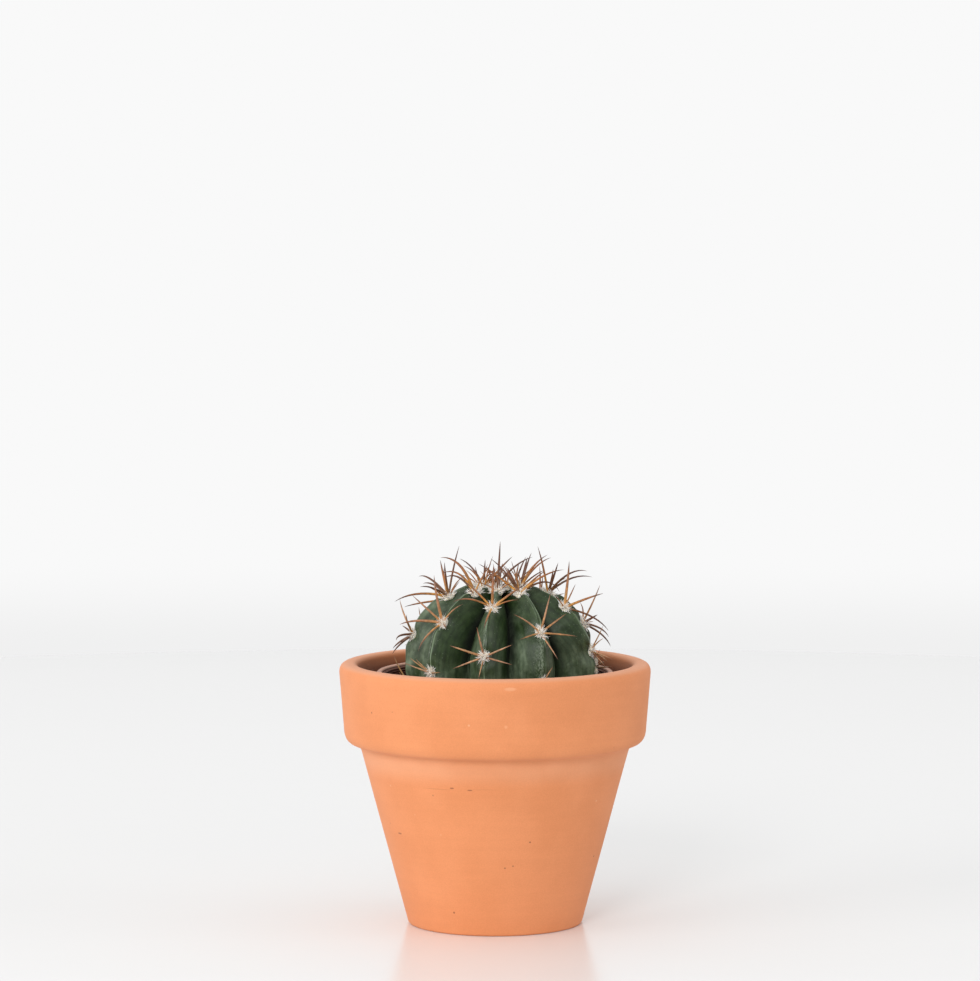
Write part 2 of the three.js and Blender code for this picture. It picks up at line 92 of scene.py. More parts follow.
# Painted highlight on the rim's top: its reach down from the top, and its share.
rim_highlight_reach, rim_highlight_share = 1.4, 0.34
clay_deep, clay_bright = (0.750, 0.278, 0.114), (0.790, 0.300, 0.128)
turning_tints = (0.988, 0.985, 0.982), (1.010, 1.012, 1.014)
sand_tints = (0.965, 0.958, 0.950), (1.025, 1.030, 1.035)
lime_and_light_colour, rim_highlight_colour, inside_shade_tint = (0.90, 0.57, 0.39), (0.74, 0.46, 0.33), (0.225, 0.172, 0.145)
clay_chip, clay_grit, clay_rub = (0.86, 0.42, 0.23), (0.30, 0.10, 0.05), (0.60, 0.22, 0.09)

# Pits and pale specks: spacing, size, share of the places and colour.
clay_dots = [(7.0, 0.55, 0.22, (0.33, 0.11, 0.05)), (9.0, 0.55, 0.10, (0.82, 0.42, 0.24))]

# The marks that face the front: middle, reach, strength and colour.
clay_marks = [
    ((5.1, -54.2, 89.6), (2.6, 3.0, 0.8), 0.55, clay_chip),
    ((3.7, -53.8, 76.5), (0.7, 2.0, 0.7), 0.5, clay_chip),
    ((-20.0, -40.5, 53.2), (7.0, 8.0, 0.22), 0.5, clay_rub),
    ((-4.0, -44.8, 53.6), (6.0, 4.0, 0.18), 0.4, clay_rub),
    ((-14.9, -42.6, 53.8), (0.9, 2.0, 0.35), 0.8, clay_grit),
    ((-8.7, -44.2, 53.3), (1.1, 2.0, 0.3), 0.8, clay_grit),
    ((12.1, -38.1, 34.3), (0.45, 2.0, 0.4), 0.8, clay_grit),
    ((3.4, -37.3, 25.1), (0.4, 2.0, 0.4), 0.7, clay_grit),
    ((6.2, -37.2, 25.8), (0.4, 2.0, 0.35), 0.7, clay_grit),
    ((-33.2, -22.5, 35.0), (1.0, 2.0, 0.4), 0.7, clay_grit),
]
MM = 0.001
BEND_STEPS = 7

# The steep sine that stands in for random numbers: the way it runs and its scale.
HASH_WAY, HASH_SCALE = np.array([12.9898, 78.233, 37.719]), 43758.5453


def run_of(start, stretches, spacing):
    """The outline from the start through the stretches in turn. A stretch of one point is the straight line
    a + t(b - a), and one of two is the parabola (1-t)^2 a + 2t(1-t) b + t^2 c. A straight one has steps of
    the spacing, a parabola a fixed number."""
    points = []
    for stretch in stretches:
        corners = np.array([start, *stretch], float)[:, None, :]
        length = np.linalg.norm(corners[-1] - corners[0])
        steps = int(np.ceil(length / spacing)) if len(stretch) == 1 else BEND_STEPS
        t = (np.arange(steps) / steps)[:, None]
        while len(corners) > 1:
            corners = corners[:-1] * (1 - t) + corners[1:] * t
        points.append(corners[0])
        start = stretch[-1]
    return np.concatenate(points)


def circle(count):
    """The angles of that many even steps round a circle."""
    return np.arange(count) * 2 * np.pi / count


def around(radius, angle, height):
    """The points (r cos a, r sin a, z) about the vertical axis."""
    return np.stack(np.broadcast_arrays(radius * np.cos(angle), radius * np.sin(angle), height), axis=-1)


def turned(outline, sides):
    """The outline's (r, z) points carried round +Z, as a grid with one row for each point."""
    return around(outline[:, :1], circle(sides), outline[:, 1:])


def swell(points, relief):
    """Moves the points away from the pots' axis by the relief."""
    points[..., :2] *= (1 + relief / np.linalg.norm(points[..., :2], axis=-1))[..., None]


def grid_faces(rows, columns, ring=False):
    """The quads between neighbours of a grid whose columns close round, and its rows too if ring is set."""
    row = np.arange(rows if ring else rows - 1)[:, None]
    column = np.arange(columns)
    this = row * columns + column
    beside = row * columns + (column + 1) % columns
    up = ((row + 1) % rows - row) * columns
    return np.stack([this, beside, beside + up, this + up], axis=-1).reshape(-1, 4)


def lumps(points, size, seed=0.0):
    """Smooth noise from -1 to 1. Each corner of a cubic lattice of that size has its own number, and a point
    takes the eight corners round it, weighted by the smooth step 3p^2 - 2p^3 of its place p in the cell."""
    cell = np.floor(points / size)
    place = points / size - cell
    weight = place * place * (3 - 2 * place)
    total = 0.0
    for corner in itertools.product((0, 1), repeat=3):
        wave = np.sin((cell + corner) @ HASH_WAY + seed) * HASH_SCALE
        share = np.prod(np.where(corner, weight, 1 - weight), axis=-1)
        total = total + share * (2 * (wave - np.floor(wave)) - 1)
    return total


def placed(name, data):
    """An object of that data, put into the scene."""
    thing = bpy.data.objects.new(name, data)
    bpy.context.scene.collection.objects.link(thing)
    return thing


def make_piece(name, points, faces, finish, slot, node, smooth=True, **values):
    """An object of those points and lists of faces, with its finish and with named values at its points. It
    rides on the one body and stands for the node. The slot is not used."""
    mesh = bpy.data.meshes.new(name)
    corners = np.concatenate([part.ravel() for part in faces])
    sizes = np.concatenate([np.full(len(part), part.shape[1]) for part in faces])
    mesh.vertices.add(points.size // 3)
    mesh.vertices.foreach_set("co", (points * MM).ravel())
    mesh.loops.add(len(corners))
    mesh.loops.foreach_set("vertex_index", corners.astype(np.int32))
    mesh.polygons.add(len(sizes))
    mesh.polygons.foreach_set("loop_start", (np.cumsum(sizes) - sizes).astype(np.int32))
    mesh.polygons.foreach_set("use_smooth", np.full(len(sizes), smooth))
    mesh.update(calc_edges=True)
    for label, value in values.items():
        kind, field = ("FLOAT_VECTOR", "vector") if value.ndim == 2 else ("FLOAT", "value")
        mesh.attributes.new(label, kind, "POINT").data.foreach_set(field, value.ravel().astype(np.float32))
    mesh.materials.append(finish)
    piece = placed(name, mesh)
    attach(piece, "root")
    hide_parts(node)
    return piece


def new_finish(name, **uniform):
    """A material whose Principled shader has these values, with _ for a space in a socket's name."""
    finish = bpy.data.materials.new(name)
    finish.use_nodes = True
    shader = finish.node_tree.nodes["Principled BSDF"]
    for socket, value in uniform.items():
        shader.inputs[socket.replace("_", " ")].default_value = value
    return finish


def add_node(finish, kind, inputs, **settings):
    """A node of that kind in the finish. Each input is a value, or an output socket to link."""
    node = finish.node_tree.nodes.new("ShaderNode" + kind)
    for setting, value in settings.items():
        setattr(node, setting, value)
    for socket, value in inputs.items():
        if isinstance(value, bpy.types.NodeSocket):
            finish.node_tree.links.new(value, node.inputs[socket])
        else:
            node.inputs[socket].default_value = value
    return node


def own_place(finish):
    """The point on the piece in its own coordinates, in metres."""
    return add_node(finish, "TexCoord", {}).outputs["Object"]


def own_value(finish, name, output="Fac"):
    """What the points of the piece carry under that name."""
    return add_node(finish, "Attribute", {}, attribute_name=name).outputs[output]


def one_of(finish, vector, axis):
    """The part of a vector along one axis."""
    return add_node(finish, "SeparateXYZ", {"Vector": vector}).outputs[axis]


def grain(finish, place, size, detail=3.0, stretch=(1.0, 1.0, 1.0)):
    """Noise round 0.5 with lumps of that size in millimetres, longer along an axis of a smaller stretch."""
    mapping = add_node(finish, "Mapping", {"Vector": place, "Scale": stretch})
    inputs = {"Vector": mapping.outputs[0], "Scale": 1 / (size * MM), "Detail": detail, "Roughness": 0.55}
    return add_node(finish, "TexNoise", inputs).outputs["Fac"]


def between(finish, value, low, high):
    """A smooth step from 0 where the value is low to 1 where it is high."""
    inputs = {"Value": value, "From Min": low, "From Max": high}
    return add_node(finish, "MapRange", inputs, interpolation_type="SMOOTHSTEP").outputs[0]


def times(finish, first, second):
    """The product of two numbers."""
    return add_node(finish, "Math", {0: first, 1: second}, operation="MULTIPLY").outputs[0]


def band(finish, value, places):
    """1 between the second and the third place, falling smoothly to 0 at the first and at the fourth."""
    start, full, end, none = places
    return times(finish, between(finish, value, start, full), between(finish, value, none, end))


def blended(finish, share, first, second):
    """The number first, with share of the number second over it."""
    return add_node(finish, "Mix", {0: share, 2: first, 3: second}).outputs[0]


def mixed(finish, share, first, second, how="MIX"):
    """The colour first, with share of the colour second over it."""
    first, second = [(*c, 1.0) if isinstance(c, tuple) else c for c in (first, second)]
    inputs = {0: share, 6: first, 7: second}
    return add_node(finish, "Mix", inputs, data_type="RGBA", blend_type=how).outputs[2]


def shaded(finish, colour, value, tints, low=0.3, high=0.7):
    """The colour times a tint: the first of the two where the value is low, the second where it is high."""
    tint = mixed(finish, between(finish, value, low, high), *tints)
    return mixed(finish, 1.0, colour, tint, "MULTIPLY")


def dots(finish, place, spacing, size, share):
    """Round dots of that size scattered at that spacing, in millimetres, in that share of the places. The
    middle 0.35 of a dot is solid."""
    texture = add_node(finish, "TexVoronoi", {"Vector": place, "Scale": 1 / (spacing * MM)})
    near = between(finish, texture.outputs["Distance"], size / spacing, 0.35 * size / spacing)
    chosen = add_node(finish, "SeparateColor", {"Color": texture.outputs["Color"]}).outputs[0]
    return times(finish, near, between(finish, chosen, 1 - share, 1.02 - share))


def spot(finish, place, middle, reach):
    """A soft spot, 1 inside half the reach round the middle and 0 past it. Both are along X, Y and Z in
    millimetres."""
    offset = place
    for operation, value in (("SUBTRACT", middle), ("DIVIDE", reach)):
        inputs = {0: offset, 1: np.array(value) * MM}
        offset = add_node(finish, "VectorMath", inputs, operation=operation).outputs[0]
    distance = add_node(finish, "VectorMath", {0: offset}, operation="LENGTH").outputs["Value"]
    return between(finish, distance, 1.0, 0.5)


def dress(finish, colour, *reliefs):
    """Links the colour to the shader, and reliefs of (height 0 to 1, depth in millimetres) to its normal."""
    shader = finish.node_tree.nodes["Principled BSDF"]
    finish.node_tree.links.new(colour, shader.inputs["Base Color"])
    normal = None
    for height, depth in reliefs:
        inputs = {"Height": height, "Distance": depth * MM, "Strength": 1.0}
        if normal:
            inputs["Normal"] = normal
        normal = add_node(finish, "Bump", inputs).outputs["Normal"]
    finish.node_tree.links.new(normal, shader.inputs["Normal"])


clay = new_finish("fired_clay", Roughness=0.80, Specular_IOR_Level=0.25, Sheen_Weight=0.06,
                  Sheen_Roughness=0.6)
clay_place = own_place(clay)
clay_height = one_of(clay, clay_place, "Z")
clay_patches = between(clay, grain(clay, clay_place, clay_patch_size), 0.35, 0.65)
clay_turning = grain(clay, clay_place, turning_size, 5.0, turning_stretch)
clay_sand = grain(clay, clay_place, sand_size, 5.0)
clay_colour = mixed(clay, clay_patches, clay_deep, clay_bright)
clay_colour = shaded(clay, clay_colour, clay_turning, turning_tints)
clay_colour = shaded(clay, clay_colour, clay_sand, sand_tints)
# A pale band round the neck under the collar: partly lime bloom on the clay, partly painted light that lifts
# the shade under the collar.
lime_and_light_inputs = {0: clay_patches, 1: lime_and_light_patchy, 2: lime_and_light_even}
lime_and_light_share = add_node(clay, "Math", lime_and_light_inputs, operation="MULTIPLY_ADD").outputs[0]
lime_and_light_cover = times(clay, band(clay, clay_height, np.array(lime_and_light_band) * MM), lime_and_light_share)
clay_colour = mixed(clay, lime_and_light_cover, clay_colour, lime_and_light_colour)
for spacing, size, share, dot_colour in clay_dots:
    clay_colour = mixed(clay, dots(clay, clay_place, spacing, size, share), clay_colour, dot_colour)
for middle, reach, strength, mark_colour in clay_marks:
    mark = times(clay, spot(clay, clay_place, middle, reach), strength)
    clay_colour = mixed(clay, mark, clay_colour, mark_colour)
# Painted highlight: the top of the rim is paler, as if lit from above.
rim_highlight = between(clay, clay_height, (pot_height - rim_highlight_reach) * MM, pot_height * MM)
clay_colour = mixed(clay, times(clay, rim_highlight, rim_highlight_share), clay_colour, rim_highlight_colour)
# Painted shade: the inside of the pot darkens from the rim downwards.
clay_in_shade = mixed(clay, 1.0, clay_colour, inside_shade_tint, "MULTIPLY")
clay_colour = mixed(clay, own_value(clay, "damp"), clay_colour, clay_in_shade)
dress(clay, clay_colour, (clay_turning, turning_depth), (clay_sand, sand_depth))

pot_start = (drain_hole_radius, 0)
pot_outside = [
    [(pot_base_radius - pot_base_rounding, 0)],
    [(pot_base_radius, 0), (pot_base_radius + pot_base_flare, pot_base_rounding)],
    [(pot_neck_radius, pot_neck_height)],
    [(pot_neck_radius + collar_fillet_bend * collar_fillet, collar_underside),
     (pot_neck_radius + collar_fillet_end * collar_fillet, collar_underside)],
    [(collar_low_radius, collar_underside), (collar_low_radius, collar_underside + collar_foot_rounding)],
    [(collar_top_radius, pot_height - rim_outer_rounding)],
    [(collar_top_radius, pot_height), (collar_top_radius - rim_outer_rounding, pot_height)],
    [(rim_inner_radius + rim_inner_rounding, pot_height)],
    [(rim_inner_radius, pot_height), (rim_inner_radius, pot_height - rim_inner_rounding)],
]
pot_inside = [
    [(pot_floor_radius, pot_floor_thickness + pot_floor_rounding)],
    [(pot_floor_radius, pot_floor_thickness), (pot_floor_radius - pot_floor_rounding, pot_floor_thickness)],
    [(drain_hole_radius, pot_floor_thickness)],
    [pot_start],
]
pot_outline = run_of(pot_start, pot_outside + pot_inside, pot_step)
is_inside = np.arange(len(pot_outline)) >= len(run_of(pot_start, pot_outside[:-1], pot_step))
# How deep each point of the inside lies in the painted shade, growing below the rim.
pot_damp = is_inside * np.clip((pot_height - pot_outline[:, 1]) / damp_reach, 0, 1) ** damp_power
pot_points = turned(pot_outline, pot_sides)
pot_relief = pot_wobble * lumps(pot_points, pot_wobble_size)
pot_relief += ring_mark_height * lumps(pot_points * ring_mark_stretch, ring_mark_spacing)
swell(pot_points, pot_relief)
pot_faces = grid_faces(len(pot_outline), pot_sides, ring=True)
make_piece("clay_pot", pot_points, [pot_faces], clay, "terracotta", "terracotta_pot",
           damp=np.repeat(pot_damp, pot_sides))

# Grow pot
# The thin brown plastic cup that the plant was sold in, formed from sheet. Its rim is a rounded lip with a
# groove and fine stacking rings below it, inside and out, and its taper wedges it in the clay pot.
seat_gap = 0.3
cup_bottom = 25.0
cup_rim_height = 89.4
cup_rim_radius = 41.8
cup_rim_band = 9.0
cup_rim_lip = 1.4
cup_edge = 0.5
cup_shoulder = 2.2
cup_wall = 1.1
cup_ring_count = 9
cup_ring_depth = 0.30
cup_sides = 256
cup_step = 2.0
cup_wobble, cup_wobble_size, cup_wobble_seed = 0.18, 30.0, 3.0
cup_pole_gap = 0.6
cup_band_inset, cup_band_rounding = 0.2, 1.0
cup_drain_radius = 4.0
cup_drain_circle = 17.0
cup_drains = 5
drain_sides = 24
drain_margin = 1.0
ring_period = 0.9
# Painted highlights over a little wear, on the ring crests near the rim and along the lip: where each starts,
# is full, and its share.
ring_highlight_start, ring_highlight_full, ring_highlight_share = 84.0, 87.6, 0.7
lip_highlight_start, lip_highlight_full, lip_highlight_share = 0.9, 0.2, 0.9
dust_share = 0.35
plastic_deep, plastic_bright = (0.046, 0.010, 0.006), (0.075, 0.018, 0.011)
worn_ring_highlight, worn_lip_highlight, dusty_plastic = (0.46, 0.24, 0.18), (0.62, 0.37, 0.28), (0.13, 0.055, 0.035)

# The section of the lip, groove and ledge: places outwards from the lip's inner edge and up from its top.
lip_section = [
    (cup_edge + cup_rim_lip, -0.9), (cup_edge + cup_rim_lip, 0.35), (0.75, 0.0), (0.1, 0.0), (0.0, -0.5),
    (-0.35, -1.75), (-0.75, -0.85), (-1.15, -0.65), (-1.15, -1.4),
]
lip_inner_radius = cup_rim_radius - cup_edge - cup_rim_lip
cup_band_foot = cup_rim_height - cup_rim_band
cup_wall_top = cup_rim_radius - cup_shoulder
clay_taper = (rim_inner_radius - pot_floor_radius) / (
    pot_height - rim_inner_rounding - pot_floor_thickness - pot_floor_rounding)
cup_base_radius = (pot_floor_radius - seat_gap
                   + clay_taper * (cup_bottom - pot_floor_thickness - pot_floor_rounding))


def cup_inner_radius(height):
    """The radius of the cup's inside wall, straight from the floor to the foot of the rim band."""
    share = (height - cup_bottom) / (cup_band_foot - cup_bottom)
    return cup_base_radius - cup_wall + (cup_wall_top - cup_base_radius) * share


def ringed(start, end, count, depth):
    """Stretches of small rounded rings from start to end, parabolas whose middle point is out by depth."""
    places = np.linspace(start, end, count + 1)
    along = (places[-1] - places[0]) / np.linalg.norm(places[-1] - places[0])
    out = np.array([along[1], -along[0]]) * depth
    return [[(low + high) / 2 + out, high] for low, high in zip(places[:-1], places[1:])]


plastic = new_finish("brown_plastic", Roughness=0.62, Specular_IOR_Level=0.07)
plastic_place = own_place(plastic)
plastic_height = one_of(plastic, plastic_place, "Z")
plastic_flow = grain(plastic, plastic_place, 5.0, 4.0, (0.2, 0.2, 1.0))
plastic_scuff = grain(plastic, plastic_place, 0.8, 5.0, (0.25, 0.25, 1.0))
plastic_colour = mixed(plastic, between(plastic, plastic_flow, 0.3, 0.7), plastic_deep, plastic_bright)
ring_turn = times(plastic, plastic_height, 2 * np.pi / (ring_period * MM))
ring_wave = add_node(plastic, "Math", {0: ring_turn}, operation="SINE").outputs[0]
# Painted highlights on the crests of the top rings, where the plastic is also a little worn.
ring_wear_and_highlight = times(plastic, between(plastic, ring_wave, 0.45, 1.0),
                  between(plastic, plastic_height, ring_highlight_start * MM, ring_highlight_full * MM))
plastic_colour = mixed(plastic, times(plastic, ring_wear_and_highlight, ring_highlight_share), plastic_colour, worn_ring_highlight)
# Painted highlight along the lip, over a little wear: the top of the rim is paler.
lip_highlight = between(plastic, plastic_height, (cup_rim_height - lip_highlight_start) * MM,
                    (cup_rim_height - lip_highlight_full) * MM)
plastic_colour = mixed(plastic, times(plastic, lip_highlight, lip_highlight_share), plastic_colour, worn_lip_highlight)
plastic_dust = times(plastic, between(plastic, plastic_scuff, 0.52, 0.75), dust_share)
plastic_colour = mixed(plastic, plastic_dust, plastic_colour, dusty_plastic)
dress(plastic, plastic_colour, (plastic_flow, 0.06), (plastic_scuff, 0.02))

lip_outer, lip_bulge, lip_top, lip_turn, lip_inner, groove, ledge, ledge_turn, ledge_end = [
    (lip_inner_radius + outwards, cup_rim_height + up) for outwards, up in lip_section]
ring_start = (cup_rim_radius - cup_band_inset, cup_band_foot + cup_band_rounding)
ring_end = (cup_wall_top - cup_wall, cup_band_foot - cup_edge)
floor_corner = (cup_inner_radius(cup_bottom + cup_wall), cup_bottom + cup_wall)
cup_outline = run_of((cup_pole_gap, cup_bottom), [
    [(cup_base_radius - cup_edge, cup_bottom)],
    [(cup_base_radius, cup_bottom), (cup_base_radius, cup_bottom + cup_edge)],
    [(cup_wall_top, cup_band_foot)],
    [(cup_rim_radius - cup_band_inset, cup_band_foot), ring_start],
    *ringed(ring_start, lip_outer, cup_ring_count, cup_ring_depth),
    [lip_bulge, lip_top], [lip_turn, lip_inner], [groove, ledge], [ledge_turn, ledge_end],
    *ringed(ledge_end, ring_end, cup_ring_count, cup_ring_depth),
    [floor_corner],
    [(cup_pole_gap, cup_bottom + cup_wall)],
], cup_step)
cup_points = turned(cup_outline, cup_sides)
rim_share = np.clip((cup_points[..., 2] - cup_bottom) / (cup_rim_height - cup_bottom), 0, 1)
swell(cup_points, cup_wobble * rim_share * lumps(cup_points, cup_wobble_size, cup_wobble_seed))


def with_poles(rows, columns):
    """The faces of a grid closed by two more points, one before its first row and one after its last."""
    column = np.arange(columns)
    beside = (column + 1) % columns
    start, last = rows * columns, (rows - 1) * columns
    first_fan = np.stack([np.full(columns, start), beside, column], axis=-1)
    last_fan = np.stack([last + column, last + beside, np.full(columns, start + 1)], axis=-1)
    return [grid_faces(rows, columns), first_fan, last_fan]


cup_poles = np.array([[0, 0, cup_bottom], [0, 0, cup_bottom + cup_wall]])
cup_points = np.concatenate([cup_points.reshape(-1, 3), cup_poles])
cup = make_piece("grow_pot_cup", cup_points, with_poles(len(cup_outline), cup_sides), plastic,
                 "brown_plastic", "grow_pot")
for drain_turn in circle(cup_drains):
    middle = around(cup_drain_circle, drain_turn, 0.0)
    rings = [middle + around(cup_drain_radius, circle(drain_sides), height)
             for height in (cup_bottom - drain_margin, cup_bottom + cup_wall + drain_margin)]
    plug_mesh = bpy.data.meshes.new("drain_cutter")
    caps = [list(range(drain_sides))[::-1], list(range(drain_sides, 2 * drain_sides))]
    plug_faces = grid_faces(2, drain_sides).tolist() + caps
    plug_mesh.from_pydata((np.concatenate(rings) * MM).tolist(), [], plug_faces)
    plug = placed("drain_cutter", plug_mesh)
    cut = cup.modifiers.new("drain", "BOOLEAN")
    cut.object = plug
    cut.operation = "DIFFERENCE"
    cut.solver = "EXACT"
    bpy.context.view_layer.update()
    finished = bpy.data.meshes.new_from_object(cup.evaluated_get(bpy.context.evaluated_depsgraph_get()))
    cup.modifiers.clear()
    cup.data = finished
    bpy.data.objects.remove(plug)

# Cactus body
# The fleshy green body, grown as one piece: nine ribs whose crests run from the sunken crown over a round,
# flattened shape to the soil. A thin grey wax lies on the skin, and old crests turn corky.
plant_offset = 1.9
plant_radius = 33.5
equator_height = 91.0
crown_rise = 29.5
base_drop = 24.0
squareness = 2.4
crown_dimple = 2.2
crown_dimple_width = 6.0
valley_depth = 12.5
valley_onset = 9.0
valley_fade = (60.0, 84.0)
valley_power = 8
flank_share = 0.86
crest_flat = 0.05
ridge_width = 0.03
rib_twist = 4.0
rib_twist_most = 1.2
rib_twist_reach = (15.0, 45.0)
notch_depth = 1.5
notch_length = 2.8
notch_width = 0.3
notch_onset = 12.0
chin_height = 0.45
chin_offset = 4.2
rib_azimuths = np.array([-87, -48.5, -10.5, 26.8, 68, 93, 146, 189, 231])
rib_leans = np.array([0, 0, 0, 0, 15, 15, 0, 0, 0])
rib_lean_reach = (31.0, 49.0)
rib_cushions = [
    [6, 19.4, 39, 58], [13.5, 32, 51], [10, 23.6, 44], [13.4, 35.4, 53.5], [7.5, 26, 45], [17.7, 35.1, 53],
    [10.5, 29, 47.5], [5.5, 16, 34, 52], [9, 25, 43.5],
]
ribs = len(rib_azimuths)
crest_steps = 2401
crest_crowding = 0.10
columns_a_rib = 42
open_rows = 186
buried_rows = 14
soil_level = 80.8

# How far the first row of points lies from its pole, as a share of the space between rows.
pole_gap = 0.6

# Lumps of the skin: height, size and seed.
skin_lumps = [(0.16, 6.5, 5.0), (0.035, 1.7, 8.0)]

# The wax bloom: even share, height, size and seed of its patches, and the share of wax colour that it gains
# near the foot, a painted light on the low skin.
bloom_even, bloom_patches = 0.06, [(0.12, 14.0, 9.0)]
foot_painted_light, foot_painted_light_reach = 0.70, (44.0, 54.0)

# Spots of wax colour that also paint highlights, or painted shade where the strength is negative: the gap
# between two ribs, the step across it, the distance from the crown and the strength. The reach is in steps
# and in millimetres.
wax_and_light_spots = [
    (0, 0.10, 30, 0.80), (0, 0.22, 41, 0.80), (0, 0.12, 50, 0.60), (0, 0.74, 30, 0.60), (1, 0.84, 44, 0.60),
    (1, 0.60, 50, 0.40), (1, 0.72, 22, 0.25), (2, 0.72, 50, 1.00), (2, 0.66, 38, 0.30), (2, 0.30, 51, 0.60),
    (2, 0.72, 22, 0.30), (3, 0.25, 52, 0.50), (4, 0.78, 36, 0.30), (8, 0.75, 34, 0.60), (1, 0.96, 15, 0.60),
    (2, 0.04, 15, 0.60), (3, 0.70, 42, 0.30), (3, 0.85, 50, 0.30), (3, 0.62, 26, -0.30),
    (2, 0.92, 36, -0.25),
]
wax_and_light_reach = (0.13, 12.0)

# Corky crests: rib, side, width as a share of the way to the valley, middle, length and strength. The first,
# on rib 3, is also a painted highlight along that crest.
cork_and_highlight_bands = [(3, -1, 0.18, 48, 11, 0.9), (1, -1, 0.09, 40, 9, 0.8), (2, -1, 0.12, 33, 6, 0.8),
              (4, 1, 0.10, 50, 10, 0.8), (6, 1, 0.10, 46, 9, 0.7), (8, -1, 0.12, 50, 9, 0.7)]
rib_spacing = 60.0
streak_depth, pore_depth = 0.14, 0.05
# The skin's greens; the valley green is painted shade.
skin_green, valley_shade_green, crest_green = (0.022, 0.043, 0.013), (0.002, 0.005, 0.001), (0.034, 0.058, 0.022)
# The painted shade green, the wax green that also paints highlights, and the wax dots.
painted_shade_green, wax_and_highlight_green, wax_dot = (0.011, 0.021, 0.007), (0.150, 0.200, 0.130), (0.22, 0.27, 0.19)
# The painted highlight on crest edges, and the grey of cork that is also a painted highlight on rib 3.
crest_highlight_green, cork_and_highlight_grey = (0.22, 0.30, 0.18), (0.25, 0.30, 0.22)
streak_tints = (0.66, 0.70, 0.66), (1.34, 1.30, 1.28)
mottle_tints = (0.76, 0.80, 0.74), (1.22, 1.18, 1.20)

turn = np.linspace(np.pi / 2, -np.pi / 2, crest_steps)
crest_radius = plant_radius * np.clip(np.cos(turn), 0, None) ** (2 / squareness)
crest_height = equator_height + (np.where(turn > 0, crown_rise, base_drop)
                                 * np.sign(np.sin(turn)) * np.abs(np.sin(turn)) ** (2 / squareness))
crest_distance = np.append(0, np.cumsum(np.hypot(np.diff(crest_radius), np.diff(crest_height))))
crest_length = crest_distance[-1]
crest_slope = np.stack([-np.gradient(line, crest_distance) for line in (crest_radius, crest_height)])
crest_slope /= np.linalg.norm(crest_slope, axis=0)
soil_distance = np.interp(-soil_level, -crest_height, crest_distance)


def crest_at(distance):
    """Radius and height of the crest line, a superellipse, at a distance from the crown along it, and its
    unit directions (radius, height) to the crown and outwards."""
    radius, height, up_radius, up_height = [
        np.interp(distance, crest_distance, line) for line in (crest_radius, crest_height, *crest_slope)]
    return radius, height, (up_radius, up_height), (up_height, -up_radius)


def smooth_step(value, low, high):
    """3p^2 - 2p^3 for the value's place p between low and high: 0 before and 1 after."""
    place = np.clip((value - low) / (high - low), 0, 1)
    return place * place * (3 - 2 * place)


def azimuth_at(rib, distance):
    """The azimuth of a rib's crest at a distance from the crown, in degrees. All ribs turn a little near
    the crown, and some lean to one side on their way down, by a smooth step."""
    full, none = rib_twist_reach
    twist = rib_twist * np.clip((none - distance) / (none - full), 0, rib_twist_most)
    return rib_azimuths[rib] + rib_leans[rib] * smooth_step(distance, *rib_lean_reach) + twist


def rib_drop(share, distance):
    """Depth of the skin under the crest line, for a share s of the way from crest to valley: a straight
    flank from the edge of the narrow flat crest, sqrt(s^2 + w^2) - w, and a steep valley, s^8. It grows from
    the crown and fades near the foot."""
    onset = 1 - np.exp(-distance / valley_onset)
    fade = 1 - smooth_step(distance, *valley_fade)
    off_crest = np.maximum(share - crest_flat, 0) / (1 - crest_flat)
    ridge = (np.hypot(off_crest, ridge_width) - ridge_width) / (np.hypot(1, ridge_width) - ridge_width)
    return valley_depth * onset * fade * (flank_share * ridge + (1 - flank_share) * share ** valley_power)


def notch_drop(rib, share, distance):
    """The notch round each cushion of the nearest rib, a Gaussian both along and across the crest, with the
    low swelling just below it."""
    total = 0.0
    for number, places in enumerate(rib_cushions):
        for place in places:
            notch = notch_depth * np.exp(-((distance - place) / notch_length) ** 2)
            chin = chin_height * np.exp(-((distance - place - chin_offset) / notch_length) ** 2)
            total = total + np.where(rib == number, notch - chin, 0)
    return total * np.exp(-(share / notch_width) ** 2) * np.minimum(distance / notch_onset, 1)


def skin_point(rib, step, distance, offset=0.0, depth=0.0):
    """A point of the skin: a step of the way from a rib's crest to the next, at a distance from the crown,
    standing off by the offset, and sunk by the depth like a valley. Above the equator a valley lies square
    to the crest line, and below it level."""
    after = (rib + 1) % ribs
    gap = (azimuth_at(after, distance) - azimuth_at(rib, distance)) % 360
    share = 1 - np.abs(1 - 2 * step)
    nearest = np.where(step < 0.5, rib, after)
    radius, height, _, out = crest_at(distance)
    dimple = crown_dimple * np.exp(-(distance / crown_dimple_width) ** 2)
    drop = rib_drop(share, distance) + notch_drop(nearest, share, distance) + dimple + depth
    inward_radius = np.where(out[1] > 0, out[0], 1.0)
    inward_height = np.where(out[1] > 0, out[1], 0.0)
    radius = np.maximum(radius - inward_radius * drop + out[0] * offset, 0)
    azimuth = np.radians(azimuth_at(rib, distance) + gap * step)
    height = height - inward_height * drop + out[1] * offset
    return np.stack([plant_offset + radius * np.sin(azimuth), -radius * np.cos(azimuth), height], axis=-1)


def relief_of(points, layers):
    """The sum of several sizes of lumps, each given by its height, size and seed."""
    return sum(height * lumps(points, size, seed) for height, size, seed in layers)


